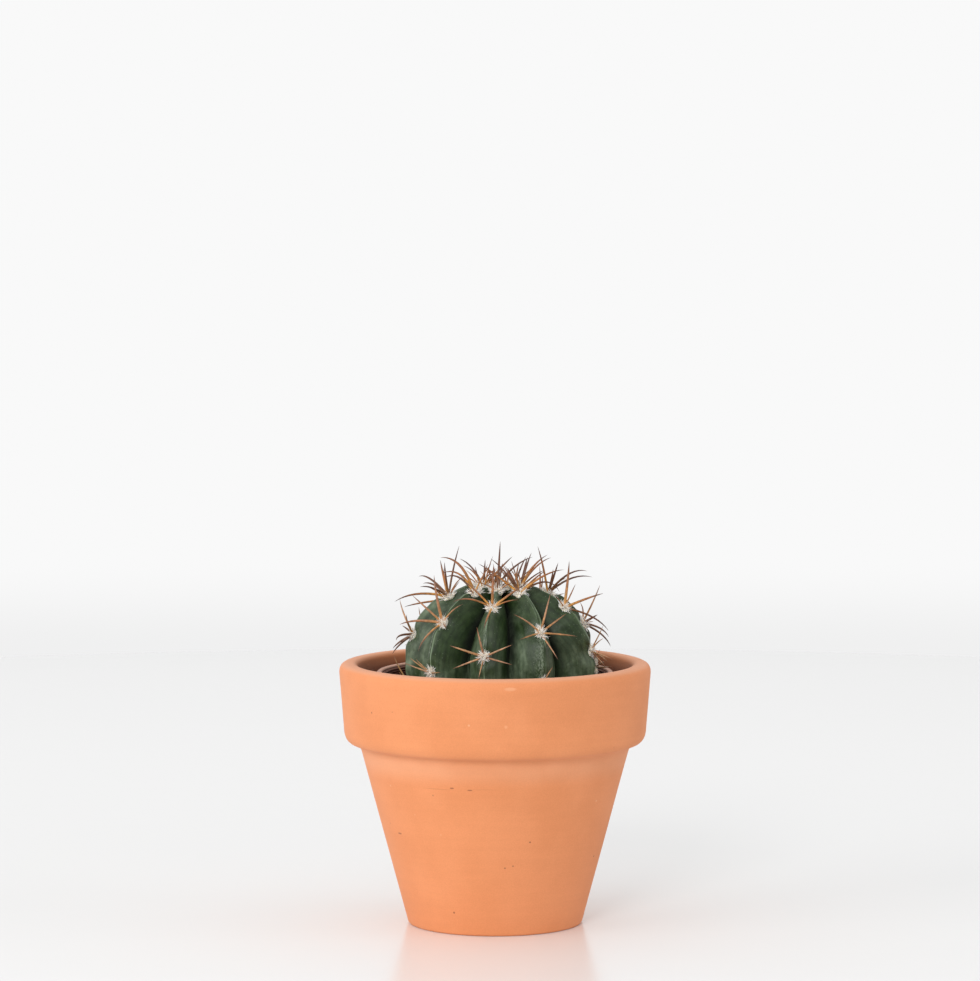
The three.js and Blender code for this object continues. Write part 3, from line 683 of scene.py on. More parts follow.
body_rib = np.repeat(np.arange(ribs), columns_a_rib)
even_step = np.tile(np.arange(columns_a_rib) / columns_a_rib, ribs)
body_step = even_step - crest_crowding * np.sin(2 * np.pi * even_step)
open_distances = soil_distance * (np.arange(open_rows) + pole_gap) / open_rows
buried_distances = soil_distance + (crest_length - soil_distance) * np.arange(buried_rows) / buried_rows
body_distance = np.concatenate([open_distances, buried_distances])[:, None]
body_share = (1 - np.abs(1 - 2 * body_step)) + 0 * body_distance
smooth_skin = skin_point(body_rib, body_step, body_distance)
body_points = skin_point(body_rib, body_step, body_distance, 0.0, relief_of(smooth_skin, skin_lumps))
body_poles = skin_point(np.array([0, 0]), np.array([0.0, 0.0]), np.array([0.0, crest_length]))
rib_arc = np.radians(360 / ribs) * np.interp(body_distance, crest_distance, crest_radius)
across = np.where(body_step < 0.5, body_step, body_step - 1) * rib_arc
nearest_rib = np.where(body_step < 0.5, body_rib, (body_rib + 1) % ribs)
along = np.stack(np.broadcast_arrays(across + rib_spacing * nearest_rib, body_distance, 0.0), axis=-1) * MM
# More wax colour near the foot, which paints light on the low skin, and spots of wax that paint highlights,
# or painted shade where negative.
body_wax_and_light = bloom_even + foot_painted_light * np.clip(
    (body_distance - foot_painted_light_reach[0]) / (foot_painted_light_reach[1] - foot_painted_light_reach[0]), 0, 1)
body_wax_and_light = body_wax_and_light + relief_of(smooth_skin, bloom_patches)
for gap, step, distance, strength in wax_and_light_spots:
    wax_and_light_spot = np.exp(-((body_step - step) / wax_and_light_reach[0]) ** 2
                      - ((body_distance - distance) / wax_and_light_reach[1]) ** 2)
    body_wax_and_light = body_wax_and_light + np.where(body_rib == gap, strength * wax_and_light_spot, 0)
body_wax_and_light = np.clip(body_wax_and_light, -1, 1)
crest_side = np.where(body_step < 0.5, 1, -1)
body_cork_and_highlight = 0.0
for rib, side, width, middle, length, strength in cork_and_highlight_bands:
    worn = np.exp(-(body_share / width) ** 2 - ((body_distance - middle) / length) ** 2)
    body_cork_and_highlight = body_cork_and_highlight + np.where((nearest_rib == rib) & (crest_side == side), strength * worn, 0)

skin = new_finish("waxy_skin", Roughness=0.36, Specular_IOR_Level=0.36)
skin_share, skin_wax_and_light, skin_cork_and_highlight = [own_value(skin, name) for name in ("share", "wax_and_light", "cork_and_highlight")]
skin_along = own_value(skin, "along", "Vector")
skin_place = own_place(skin)
wax_patches = between(skin, grain(skin, skin_along, 6.0, 4.0, (1.0, 0.35, 1.0)), 0.36, 0.66)
skin_streaks = grain(skin, skin_along, 1.1, 5.0, (1.0, 0.12, 1.0))
skin_mottle = grain(skin, skin_place, 2.2, 4.0)
skin_pores = grain(skin, skin_place, 0.35, 3.0)
skin_distance = one_of(skin, skin_along, "Y")
# Painted shade: the skin darkens to nearly black deep in the valleys, except near the foot.
valley_shade = times(skin, between(skin, skin_share, 0.58, 0.94),
                     between(skin, skin_distance, 56.0 * MM, 40.0 * MM))
skin_colour = mixed(skin, valley_shade, skin_green, valley_shade_green)
skin_colour = mixed(skin, between(skin, skin_share, 0.30, 0.05), skin_colour, crest_green)
# Painted shade where the spots' strength makes the value negative.
skin_colour = mixed(skin, between(skin, skin_wax_and_light, 0.0, -0.6), skin_colour, painted_shade_green)
# Wax colour, which also paints highlights and light where the spots and the foot raise it.
wax_and_highlight_inputs = {0: wax_patches, 1: skin_wax_and_light}
wax_and_highlight_cover = add_node(skin, "Math", wax_and_highlight_inputs, operation="MULTIPLY", use_clamp=True).outputs[0]
skin_colour = mixed(skin, wax_and_highlight_cover, skin_colour, wax_and_highlight_green)
skin_colour = shaded(skin, skin_colour, skin_streaks, streak_tints)
skin_colour = shaded(skin, skin_colour, skin_mottle, mottle_tints, 0.35, 0.65)
stipple = times(skin, dots(skin, skin_place, 0.9, 0.22, 0.5), between(skin, skin_share, 0.70, 0.15))
skin_colour = mixed(skin, times(skin, stipple, 0.5), skin_colour, wax_dot)
# Painted highlight: a pale, broken line along each edge of the crest's narrow flat top.
edge_noise = grain(skin, skin_along, 2.0, 3.0, (1.0, 0.16, 1.0))
edge_line = band(skin, skin_share, (0.012, 0.040, 0.055, 0.085))
crest_highlight = times(skin, edge_line, between(skin, edge_noise, 0.44, 0.62))
skin_colour = mixed(skin, times(skin, crest_highlight, 0.75), skin_colour, crest_highlight_green)
# Corky grey on old crests; on rib 3 it is also a painted highlight along the crest.
cork_grain = between(skin, grain(skin, skin_along, 0.45, 5.0, (1.0, 0.5, 1.0)), 0.42, 0.62)
skin_colour = mixed(skin, times(skin, cork_grain, skin_cork_and_highlight), skin_colour, cork_and_highlight_grey)
dress(skin, skin_colour, (skin_streaks, streak_depth), (skin_pores, pore_depth))
skin_gloss = add_node(skin, "MapRange", {"Value": wax_patches, "To Min": 0.32, "To Max": 0.48}).outputs[0]
skin_gloss = blended(skin, between(skin, skin_share, 0.70, 0.92), skin_gloss, 0.95)
skin.node_tree.links.new(skin_gloss, skin.node_tree.nodes["Principled BSDF"].inputs["Roughness"])

body_values = {name: np.append(values.ravel(), [0.0, 0.0])
               for name, values in (("share", body_share), ("wax_and_light", body_wax_and_light), ("cork_and_highlight", body_cork_and_highlight))}
body_values["along"] = np.concatenate([along.reshape(-1, 3), np.zeros((2, 3))])
body_points = np.concatenate([body_points.reshape(-1, 3), body_poles])
make_piece("cactus_body", body_points, with_poles(len(body_distance), len(body_rib)), skin, "plant",
           "cactus", **body_values)

# Potting soil
# The root ball's dark peaty mix, which fills the cup to nearly a centimetre under its rim. It was pressed in
# round the plant by hand: an uneven bed with loose crumbs of peat and a few grains of pumice on it.
soil_bottom = cup_bottom + cup_wall + seat_gap
soil_wall_gap = 0.4
soil_sides = 288
soil_rows = 22
soil_overlap = 0.4
soil_roughness = 0.8

# Lumps of the bed: share of the roughness, size and seed.
soil_lumps = [(0.5, 7.0, 1.0), (0.35, 2.2, 2.0), (0.15, 0.8, 3.0)]

# The hole under the plant: share of the plant's reach and height.
hole_section = np.array([(0.97, 76.0), (0.85, 72.0), (0.6, 69.0), (0.3, 67.5)])
hole_bottom = 67.0
crumb_count = 2600
pumice_count = 70
crumb_sizes, crumb_large, crumb_small, crumb_large_share = (0.35, 1.0), 1.5, 0.9, 0.12
crumb_wall_gap = 0.5

# Crumbs, as shares of their size: gap to the plant, height over the bed, reach of their knobs and widths.
crumb_plant_gap, crumb_lift = 0.2, 0.15
crumb_knobs, crumb_widths = (0.7, 1.25), (0.6, 1.1)
crumb_seed = 7
peat_deep, peat_bright = (0.016, 0.010, 0.007), (0.052, 0.030, 0.018)
peat_crumb, pumice = (0.085, 0.048, 0.027), (0.55, 0.52, 0.46)

plant_axis = np.array([plant_offset, 0.0, 0.0])
body_rim = skin_point(body_rib, body_step, soil_distance)
rim_angle = np.arctan2(body_rim[:, 1], body_rim[:, 0] - plant_offset)
rim_reach = np.hypot(body_rim[:, 1], body_rim[:, 0] - plant_offset)
by_angle = np.argsort(rim_angle)


def body_reach(angle):
    """How far the body reaches from its own axis at soil level, read between the points of its skin."""
    return np.interp(angle, rim_angle[by_angle], rim_reach[by_angle], period=2 * np.pi)


def wall_reach(angle, radius):
    """How far a circle of that radius about the pots' axis lies from the plant's axis at that angle."""
    shift = plant_offset * np.cos(angle)
    return -shift + np.sqrt(shift ** 2 + radius ** 2 - plant_offset ** 2)


def soil_height(points):
    """The bed's height: lumps of three sizes about the level, the last ones fine crumbs."""
    flat = points * np.array([1.0, 1.0, 0.0])
    return soil_level + soil_roughness * relief_of(flat, soil_lumps)


soil_angle = circle(soil_sides)
outer = wall_reach(soil_angle, cup_inner_radius(soil_level) - soil_wall_gap)
inner = body_reach(soil_angle) - soil_overlap
bed_reach = outer + (inner - outer) * np.linspace(0, 1, soil_rows)[:, None]
bed = plant_axis + around(bed_reach, soil_angle, 0.0)
bed[..., 2] = soil_height(bed)
bottom_ring = around(cup_inner_radius(soil_bottom) - soil_wall_gap, soil_angle, soil_bottom)
hole = plant_axis + around(hole_section[:, :1] * inner, soil_angle, hole_section[:, 1:])
soil_grid = np.concatenate([bottom_ring[None], bed, hole])
soil_poles = np.array([[0, 0, soil_bottom], [plant_offset, 0, hole_bottom]])

peat = new_finish("peat", Roughness=0.97, Specular_IOR_Level=0.15)
peat_place = own_place(peat)
peat_lumps = grain(peat, peat_place, 1.6, 5.0)
peat_fine = grain(peat, peat_place, 0.3, 3.0)
peat_colour = mixed(peat, between(peat, peat_lumps, 0.3, 0.7), peat_deep, peat_bright)
peat_colour = mixed(peat, times(peat, own_value(peat, "tone"), 0.6), peat_colour, peat_crumb)
peat_colour = mixed(peat, own_value(peat, "pale"), peat_colour, pumice)
dress(peat, peat_colour, (peat_lumps, 0.5), (peat_fine, 0.12))

soil_points = np.concatenate([soil_grid.reshape(-1, 3), soil_poles])
make_piece("soil_bed", soil_points, with_poles(len(soil_grid), soil_sides), peat, "soil", "potting_soil",
           tone=np.zeros(len(soil_points)), pale=np.zeros(len(soil_points)))


def many(faces, points_each, count):
    """The faces of one small piece, repeated for a number of like pieces whose points follow each other."""
    shift = points_each * np.arange(count)[:, None, None]
    return [(part[None] + shift).reshape(-1, part.shape[1]) for part in faces]


golden = (1 + 5 ** 0.5) / 2
signs = np.array([(-1, 1), (1, 1), (-1, -1), (1, -1)]) * (1, golden)
icosahedron = np.concatenate([np.insert(signs, 2, 0, axis=1), np.insert(signs, 0, 0, axis=1),
                              np.insert(signs[:, ::-1], 1, 0, axis=1)]) / np.hypot(1, golden)
icosahedron_faces = np.array([
    (0, 11, 5), (0, 5, 1), (0, 1, 7), (0, 7, 10), (0, 10, 11), (1, 5, 9), (5, 11, 4), (11, 10, 2),
    (10, 7, 6), (7, 1, 8), (3, 9, 4), (3, 4, 2), (3, 2, 6), (3, 6, 8), (3, 8, 9), (4, 9, 5), (2, 4, 11),
    (6, 2, 10), (8, 6, 7), (9, 8, 1)])
crumb_rng = np.random.default_rng(crumb_seed)
crumb_total = crumb_count + pumice_count
crumb_angle = crumb_rng.uniform(-np.pi, np.pi, crumb_total)
crumb_share = crumb_rng.uniform(0, 1, crumb_total)
crumb_size = crumb_rng.uniform(*crumb_sizes, crumb_total)
crumb_size *= np.where(crumb_rng.random(crumb_total) < crumb_large_share, crumb_large, crumb_small)
crumb_low = body_reach(crumb_angle) + crumb_plant_gap * crumb_size
crumb_high = wall_reach(crumb_angle, cup_inner_radius(soil_level) - crumb_wall_gap) - crumb_size
crumb_reach = crumb_low + (crumb_high - crumb_low) * crumb_share
crumb_place = plant_axis + around(crumb_reach, crumb_angle, 0.0)
crumb_place[:, 2] = soil_height(crumb_place) + crumb_lift * crumb_size
crumb_shape = icosahedron * crumb_rng.uniform(*crumb_knobs, (crumb_total, len(icosahedron), 1))
crumb_shape = crumb_shape * crumb_rng.uniform(*crumb_widths, (crumb_total, 1, 3)) * crumb_size[:, None, None]
crumb_turn, _ = np.linalg.qr(crumb_rng.normal(size=(crumb_total, 3, 3)))
crumb_turn *= np.sign(np.linalg.det(crumb_turn))[:, None, None]
crumb_points = np.einsum("nij,nkj->nki", crumb_turn, crumb_shape) + crumb_place[:, None]
is_pumice = np.arange(crumb_total) >= crumb_count
crumb_faces = many([icosahedron_faces], len(icosahedron), crumb_total)
crumb_tone = crumb_rng.random(crumb_total)
make_piece("soil_crumbs", crumb_points.reshape(-1, 3), crumb_faces, peat, "soil", "potting_soil",
           smooth=False, tone=np.repeat(crumb_tone, len(icosahedron)),
           pale=np.repeat(is_pumice * 1.0, len(icosahedron)))

# Wool
# Each cushion (areole) on a crest is a dense tuft of short cream wool that the plant grew there, and the
# spines come out of it. It stands out in pointed locks, loose and white near the crown, and is worn to
# beige bits on old crests.
wool_half_size = (1.6, 2.1, 1.0)
wool_young = (0.7, 1.3)
wool_youth_reach = 22.0
wool_sink = 0.1
wool_rows = 9
wool_columns = 18
wool_lump, wool_lump_size = 0.3, 0.8
locks_a_cushion = 88
lock_radius = 0.25
lock_length = (0.8, 2.5)
lock_steps = np.array([0.0, 0.3, 0.62, 0.88])
lock_sides = 5
fibres_a_cushion = 120
fibre_length = (1.0, 3.0)
fibre_radius = 0.055
fibre_steps = np.array([0.02, 0.55])
fibre_sides = 3
lock_spread, lock_curl = 0.22, 0.10
fibre_spread, fibre_curl = 0.35, 0.14
dome_depth = 0.25

# Locks and fibres: the outermost and the depth of the roots as shares of the dome, the flattening of the ways
# they point, their least length and what youth adds to it, their girths and how much of them tapers off.
lock_edge, lock_root, lock_stand = 0.99, 0.8, (1.0, 1.0, 0.75)
lock_least, lock_youth = 0.85, 0.5
lock_girth, lock_taper = (0.7, 1.25), 0.9

# The wool's age: the distance from the crown where it starts, its reach, its most, and that of worn bits.
age_start, age_reach, age_most, worn_age = 44, 40, 0.25, 0.6
wool_seed = 11
wool_tints = (1.0, 0.945, 0.85), (1.0, 0.985, 0.93)
# The colour of painted shade deep in the tuft, and that of old wool.
wool_root_shade, wool_old = (1.0, 0.84, 0.64), (0.66, 0.55, 0.40)

# Buds near the crown and worn bits low on old crests: rib and distance from the crown.
buds = [(1, 4.4), (2, 3.4), (3, 4.8), (5, 7.0), (8, 2.6)]
bud_size = 0.75
old_bits = [(4, 49.0), (4, 52.5), (4, 56.0), (5, 58.0), (7, 58.0)]
old_bit_size = 0.5

cushion_count = sum(len(places) for places in rib_cushions)
tuft_places = [(rib, place) for rib, places in enumerate(rib_cushions) for place in places]
tuft_places += buds + old_bits
tuft_rib = np.array([rib for rib, _ in tuft_places])
tuft_distance = np.array([place for _, place in tuft_places], float)
tuft_count = len(tuft_places)
tuft_size = np.repeat([1.0, bud_size, old_bit_size], [cushion_count, len(buds), len(old_bits)])


def frame_at(rib, distance):
    """The place of a cushion on the crest, and its unit directions right, to the crown and outwards."""
    _, _, up, out = crest_at(distance)
    azimuth = np.radians(azimuth_at(rib, distance))
    nothing = 0 * azimuth
    away = np.stack([np.sin(azimuth), -np.cos(azimuth), nothing], axis=-1)
    vertical = np.array([0.0, 0.0, 1.0])
    to_crown = away * up[0][..., None] + vertical * up[1][..., None]
    outwards = away * out[0][..., None] + vertical * out[1][..., None]
    return skin_point(rib, nothing, distance), around(1.0, azimuth, 0.0), to_crown, outwards


def needles(root, middle, tip, side, radius, steps, sides, flatness=1.0):
    """Needles along the parabola (1-t)^2 root + 2t(1-t) middle + t^2 tip, with a ring of sides at each step
    t. A ring is an ellipse about the curve in the plane square to it, of the radius given for that step. The
    root and the tip close the needle."""
    t = steps[:, None]
    root, middle, tip = root[:, None], middle[:, None], tip[:, None]
    centre = (1 - t) ** 2 * root + 2 * t * (1 - t) * middle + t ** 2 * tip
    forward = (1 - t) * (middle - root) + t * (tip - middle)
    forward /= np.linalg.norm(forward, axis=-1, keepdims=True)
    across = side[:, None] + 0 * forward
    ridge = np.cross(across, forward)
    angle = circle(sides)
    ring = np.cos(angle)[:, None] * across[:, :, None]
    ring = ring + flatness * np.sin(angle)[:, None] * ridge[:, :, None]
    rings = centre[:, :, None] + radius[..., None, None] * ring
    points = np.concatenate([rings.reshape(len(root), -1, 3), root, tip], axis=1)
    return points.reshape(-1, 3), many(with_poles(len(steps), sides), len(steps) * sides + 2, len(root))


wool = new_finish("cream_wool", Roughness=0.9, Specular_IOR_Level=0.1, Sheen_Weight=0.85,
                  Sheen_Roughness=0.5, Sheen_Tint=(1.0, 0.87, 0.70, 1.0), Subsurface_Weight=0.7,
                  Subsurface_Radius=(1.0, 0.92, 0.80), Subsurface_Scale=0.0006)
wool_clumps = grain(wool, own_place(wool), 0.7, 4.0)
wool_colour = mixed(wool, between(wool, wool_clumps, 0.3, 0.7), *wool_tints)
# Painted shade: the wool is warmer and darker towards the roots of its locks, deep in the tuft.
wool_colour = mixed(wool, between(wool, own_value(wool, "depth"), 0.0, 0.55), wool_root_shade, wool_colour)
wool_colour = mixed(wool, own_value(wool, "age"), wool_colour, wool_old)
dress(wool, wool_colour, (wool_clumps, 0.1))

wool_rng = np.random.default_rng(wool_seed)
seat, to_right, to_crown, outwards = frame_at(tuft_rib, tuft_distance)
youth = np.exp(-tuft_distance / wool_youth_reach)
half_size = tuft_size[:, None] * np.stack(
    [wool_half_size[0] + wool_young[0] * youth, wool_half_size[1] + wool_young[1] * youth,
     np.full(tuft_count, wool_half_size[2])], axis=-1)
basis = np.stack([to_right, to_crown, outwards], axis=-1)


def on_dome(number, ball):
    """Points of the unit ball carried to the dome of that tuft."""
    sized = ball * half_size[number]
    return np.einsum("nij,nj->ni", basis[number], sized) + seat[number] - wool_sink * outwards[number]


polar = np.pi * (np.arange(wool_rows) + pole_gap) / (wool_rows - 1 + 2 * pole_gap)
ball = around(np.sin(polar)[:, None], circle(wool_columns), -np.cos(polar)[:, None]).reshape(-1, 3)
ball = np.concatenate([ball, [[0, 0, -1], [0, 0, 1]]])
dome_number = np.repeat(np.arange(tuft_count), len(ball))
dome_ball = np.tile(ball, (tuft_count, 1))
dome_points = on_dome(dome_number, dome_ball)
dome_points = dome_points + wool_lump * lumps(dome_points, wool_lump_size)[:, None] * outwards[dome_number]
dome_faces = many(with_poles(wool_rows, wool_columns), len(ball), tuft_count)


def tufts_of(count, reach, radius, steps, sides, spread, curl):
    """Locks or fibres that stand out of every tuft, as needles. Each starts under the dome in a random
    direction and runs outwards along it, turned by the spread, with a middle that is off the straight line
    by the curl."""
    number = np.repeat(np.arange(tuft_count), count)
    total = len(number)
    turn = wool_rng.uniform(0, 2 * np.pi, total)
    off_axis = np.sqrt(wool_rng.uniform(0.0, 1.0, total)) * lock_edge
    ball = around(off_axis, turn, np.sqrt(1 - off_axis ** 2))
    way = np.einsum("nij,nj->ni", basis[number], ball * lock_stand)
    way = way + spread * wool_rng.normal(size=(total, 3))
    way /= np.linalg.norm(way, axis=-1, keepdims=True)
    length = wool_rng.uniform(*reach, total) * (lock_least + lock_youth * youth[number]) * tuft_size[number]
    root = on_dome(number, ball * lock_root)
    tip = root + way * length[:, None]
    middle = (root + tip) / 2 + curl * length[:, None] * wool_rng.normal(size=(total, 3))
    side = np.cross(way, wool_rng.normal(size=(total, 3)))
    side /= np.linalg.norm(side, axis=-1, keepdims=True)
    girth = wool_rng.uniform(*lock_girth, (total, 1)) * np.sqrt(tuft_size[number])[:, None]
    rings = radius * (1 - lock_taper * steps) * girth
    points, faces = needles(root, middle, tip, side, rings, steps, sides)
    depth = np.tile(np.append(np.repeat(steps, sides), [0.0, 1.0]), total)
    return points, faces, depth, np.repeat(number, len(steps) * sides + 2)


tuft_parts = [
    (dome_points, dome_faces, np.full(len(dome_points), dome_depth), dome_number),
    tufts_of(locks_a_cushion, lock_length, lock_radius, lock_steps, lock_sides, lock_spread, lock_curl),
    tufts_of(fibres_a_cushion, fibre_length, fibre_radius, fibre_steps, fibre_sides, fibre_spread,
             fibre_curl),
]
wool_points = np.concatenate([part[0] for part in tuft_parts])
wool_starts = np.cumsum([0] + [len(part[0]) for part in tuft_parts])
wool_faces = [faces + start for part, start in zip(tuft_parts, wool_starts) for faces in part[1]]
wool_number = np.concatenate([part[3] for part in tuft_parts])
tuft_age = np.clip((tuft_distance - age_start) / age_reach, 0, age_most)
tuft_age += worn_age * (np.arange(tuft_count) >= cushion_count + len(buds))
make_piece("cactus_wool", wool_points, wool_faces, wool, "plant", "cactus",
           depth=np.concatenate([part[2] for part in tuft_parts]), age=tuft_age[wool_number])

# Spines
# Stiff, sharp, horny spines, four to eight from each cushion, curved back towards the body, and three short
# ones from each bud on the crown. They are golden at the root, brown along their length and dark at the tip,
# and the old ones are tan.
spine_radius = 0.38
spine_turn_share = 0.6
spine_root_lift = 0.3
spine_root_depth = 0.9
spine_clearance = 1.4
spine_steps = np.array([0.0, 0.03, 0.08, 0.15, 0.24, 0.34, 0.45, 0.56, 0.67, 0.77, 0.86, 0.93, 0.98])
spine_sides = 8
spine_flatness = 0.85
spines_a_cushion = 7
usual_spine, girth_by_length, girth_draw = 13, (0.72, 1.35), (0.85, 1.2)
root_swelling, root_swelling_reach = 0.25, 0.06
taper_start, taper_power = 2.5, 0.85
star_length, star_length_fall, star_length_spread = 16.5, 0.13, 3.5
star_lift, star_lift_fall, star_lift_spread, star_lift_least = 36.0, 0.46, 22.0, 10.0
star_bend, star_bend_fall, star_bend_spread, star_bend_least = 50.0, 0.6, 44.0, 4.0
central_length, radial_length, central_lift = 1.12, 0.86, 24.0
central_clock_spread, radial_clock_spread = 40.0, 30.0
spines_a_bud = 3
bud_lengths, bud_lifts, bud_bends = (4.0, 8.0), (30, 80), (0, 60)
young_reach, young_tone, old_tone, dark_tone = 22, 0.9, 0.7, 0.95
growth_seed = 41

# Steps between the draws of two ribs, two cushions and two spines.
rib_stride, cushion_stride, spine_stride = 97, 13, 7
horn_root, horn_brown, horn_tip = (0.60, 0.30, 0.055), (0.33, 0.125, 0.034), (0.085, 0.034, 0.020)
tan_tints = (0.44, 0.24, 0.090), (0.54, 0.33, 0.200)
old_root, old_tip = (0.38, 0.18, 0.085), (0.26, 0.115, 0.055)
horn_red, horn_dark = (0.24, 0.085, 0.038), (0.055, 0.020, 0.014)
fleck_tints = (0.70, 0.66, 0.62), (1.26, 1.22, 1.18)

# The dark spines, by rib, cushion and order within it. The others take their tone from a draw.
dark_spines = [
    (0, 1, 1), (0, 1, 2), (0, 1, 3), (0, 1, 6), (0, 2, 1), (0, 2, 2), (0, 2, 3), (0, 2, 4), (1, 0, 0),
    (2, 0, 0), (2, 0, 1), (3, 0, 1), (3, 0, 3), (3, 0, 5), (4, 0, 0), (4, 0, 1), (5, 0, 1), (5, 0, 2),
    (5, 0, 3), (5, 0, 4), (0, 0, 0), (0, 0, 2), (5, 1, 1), (5, 1, 3), (5, 1, 4), (4, 1, 2), (6, 0, 0),
    (7, 0, 1),
]
dark_girth = 1.2

# The spines that face the front: [clock, length, lift, bend] for each, by rib and cushion. The clock angle
# runs clockwise from the crown, seen from outside. The lift is above the skin. The bend is how far the spine
# turns back towards the skin from root to tip, and is negative where it turns away.
front_spines = {
    (0, 0): [[-152, 13.6, 52, 50], [170, 11.1, 51, 50], [-34, 10, 80, 5], [23, 15.6, 43, 10],
             [22, 12, 69, 10], [52, 10, 43, 30]],
    (0, 1): [[-179, 19.2, 20, 50], [-116, 16.5, 35, 70], [-130, 11.7, 38, 70], [144, 12.9, 40, 45],
             [-68, 15, 53, 10], [58, 14.2, 61, 8], [-17, 18.6, 50, 10], [13, 7, 29, 10]],
    (0, 2): [[-42, 15, 32, 20], [-82, 8.5, 30, -25], [118, 9.2, 37, 75], [-140, 11.3, 25, 30],
             [153, 11, 28, 30], [52, 12, 26, 30]],
    (0, 3): [[-10, 12.4, 15, 18], [18, 7.4, 23, 20], [80, 7, 12, 20], [-75, 7, 12, 15]],
    (1, 0): [[-106, 12.6, 27, 95], [-97, 17.9, 46, 90], [-114, 13.5, 37, 95], [150, 9, 20, 35],
             [20, 12, 45, 20]],
    (1, 1): [[-16, 17, 37, 20], [-66, 14.7, 41, 30], [-116, 15.5, 26, 55], [-174, 14, 12, 50],
             [44, 10.5, 8, 50], [118, 5, 12, 20]],
    (1, 2): [[-46, 7.5, 22, 16], [-52, 9.5, 26, 14], [-66, 10, 35, 10], [82, 7, 12, 20], [-135, 6, 12, 20]],
    (2, 0): [[1, 18.7, 56, 6], [24, 10, 68, 4], [-44, 10.1, 51, 10], [107, 7.7, 30, 30], [-115, 9, 27, 30]],
    (2, 1): [[2, 14.9, 51, 8], [-95, 14, 14, 76], [-61, 13.6, 34, 16], [60, 14.5, 22, 16], [80, 10, 14, 44],
             [-175, 14, 8, 30]],
    (2, 2): [[-12, 11, 20, 16], [-73, 12.6, 11, 24], [-114, 12, 20, 18], [67, 11.5, 12, 14],
             [104, 11, 12, 26], [-171, 8.5, 18, 20]],
    (3, 0): [[-48, 18, 27, 12], [-38, 16, 39, 30], [-24, 12.6, 44, 6], [-48, 10.3, 57, 10],
             [-27, 10, 66, 8], [101, 15, 3, 100], [102, 18, 31, 45], [81, 12.8, 35, 20]],
    (3, 1): [[18, 14.5, 27, 6], [62, 12, 18, 6], [108, 13, 20, 14], [165, 12, 12, 8], [-106, 10.5, 10, 34],
             [-58, 12.5, 12, 44]],
    (3, 2): [[28, 6.9, 13, 10], [102, 6.5, 15, 10], [146, 8.3, 17, 29], [-164, 9.3, 12, 35],
             [-94, 9.1, 16, 24]],
    (4, 0): [[119, 13.2, 74, 12], [90, 11.8, 66, 10], [166, 15.3, 57, 40], [177, 15.8, 51, 44],
             [134, 11.4, 36, 30], [-24, 10.3, 66, -6], [103, 10.8, 46, 20]],
    (4, 1): [[28, 17, 47, 8], [123, 15.4, 45, 14], [154, 18.2, 7, 48], [62, 10.5, 45, 10],
             [-60, 9, 20, 20]],
    (4, 2): [[-2, 10.4, 34, 10], [-4, 6.7, 53, -30], [177, 8.5, 62, 16], [-142, 7.8, 50, 30],
             [173, 7.8, 35, 20], [-107, 6.1, 40, 20]],
    (5, 0): [[3, 11.1, 59, 4], [-72, 12.5, 69, 8], [-49, 9.3, 72, 20], [-132, 18.2, 45, 66],
             [-163, 16.9, 42, 60], [119, 13.5, 30, 50], [-14, 17.8, 54, 10]],
    (5, 1): [[-17, 15.3, 50, 8], [-79, 6.3, 73, 44], [167, 4.1, 68, 14], [-153, 10.9, 31, 60],
             [157, 15.4, 20, 42], [64, 12.6, 16, 30]],
    (5, 2): [[-68, 11.4, 22, 10], [-81, 15, 18, 40], [-82, 16.1, 10, 60], [-73, 12.1, 12, 30],
             [-35, 9.5, 18, 20], [40, 5.9, 16, 20], [150, 7, 12, 20]],
    (6, 0): [[-143, 11.5, 72, 15], [164, 9.7, 67, 10], [60, 7.9, 60, 20], [-136, 10.3, 47, 30],
             [79, 8.8, 40, 30]],
    (7, 0): [[166, 8.5, 73, 10], [-76, 16.5, 38, 40], [-130, 8.7, 53, 30], [157, 10.1, 39, 40],
             [-97, 8.3, 36, 40]],
    (7, 1): [[-132, 8.8, 70, 10], [-117, 10.7, 46, 30], [158, 9.7, 53, 30], [15, 9.1, 21, 30],
             [-10, 9.9, 20, 30]],
    (8, 0): [[-138, 8.1, 64, 10], [177, 8, 52, 30], [-67, 8.8, 59, 10], [-39, 9, 40, 30],
             [117, 8.4, 35, 40]],
    (8, 1): [[139, 16, 20, 16], [18, 12, 52, 30], [80, 11.5, 28, 40], [-50, 11, 30, 40], [-110, 12, 28, 30],
             [-165, 11, 22, 40]],
}


def draw(index):
    """The fraction of sin(index + seed) times a large number: a repeatable draw between 0 and 1."""
    wave = np.sin((index + growth_seed) * HASH_WAY[0]) * HASH_SCALE
    return wave - np.floor(wave)


def spine_star(rib, order, distance):
    """The spines of a cushion: those that face the front, or a central one and six round it by the same
    habit."""
    if (rib, order) in front_spines:
        return front_spines[rib, order]
    count = np.arange(spines_a_cushion)
    central = count == 0
    first = rib_stride * rib + cushion_stride * order
    chance = [draw(spine_stride * (first + count) + which) - 0.5 for which in (1, 2, 3, 4)]
    clock = np.where(central, central_clock_spread * chance[0],
                     360 * (count - 0.5) / (spines_a_cushion - 1) + radial_clock_spread * chance[0])
    length = ((star_length - star_length_fall * distance) * np.where(central, central_length, radial_length)
              + star_length_spread * chance[1])
    lift = (star_lift - star_lift_fall * distance + np.where(central, central_lift, 0)
            + star_lift_spread * chance[2])
    bend = star_bend - star_bend_fall * distance + star_bend_spread * chance[3]
    lift, bend = np.maximum(lift, star_lift_least), np.maximum(bend, star_bend_least)
    return np.stack([clock, length, lift, bend], axis=-1).tolist()


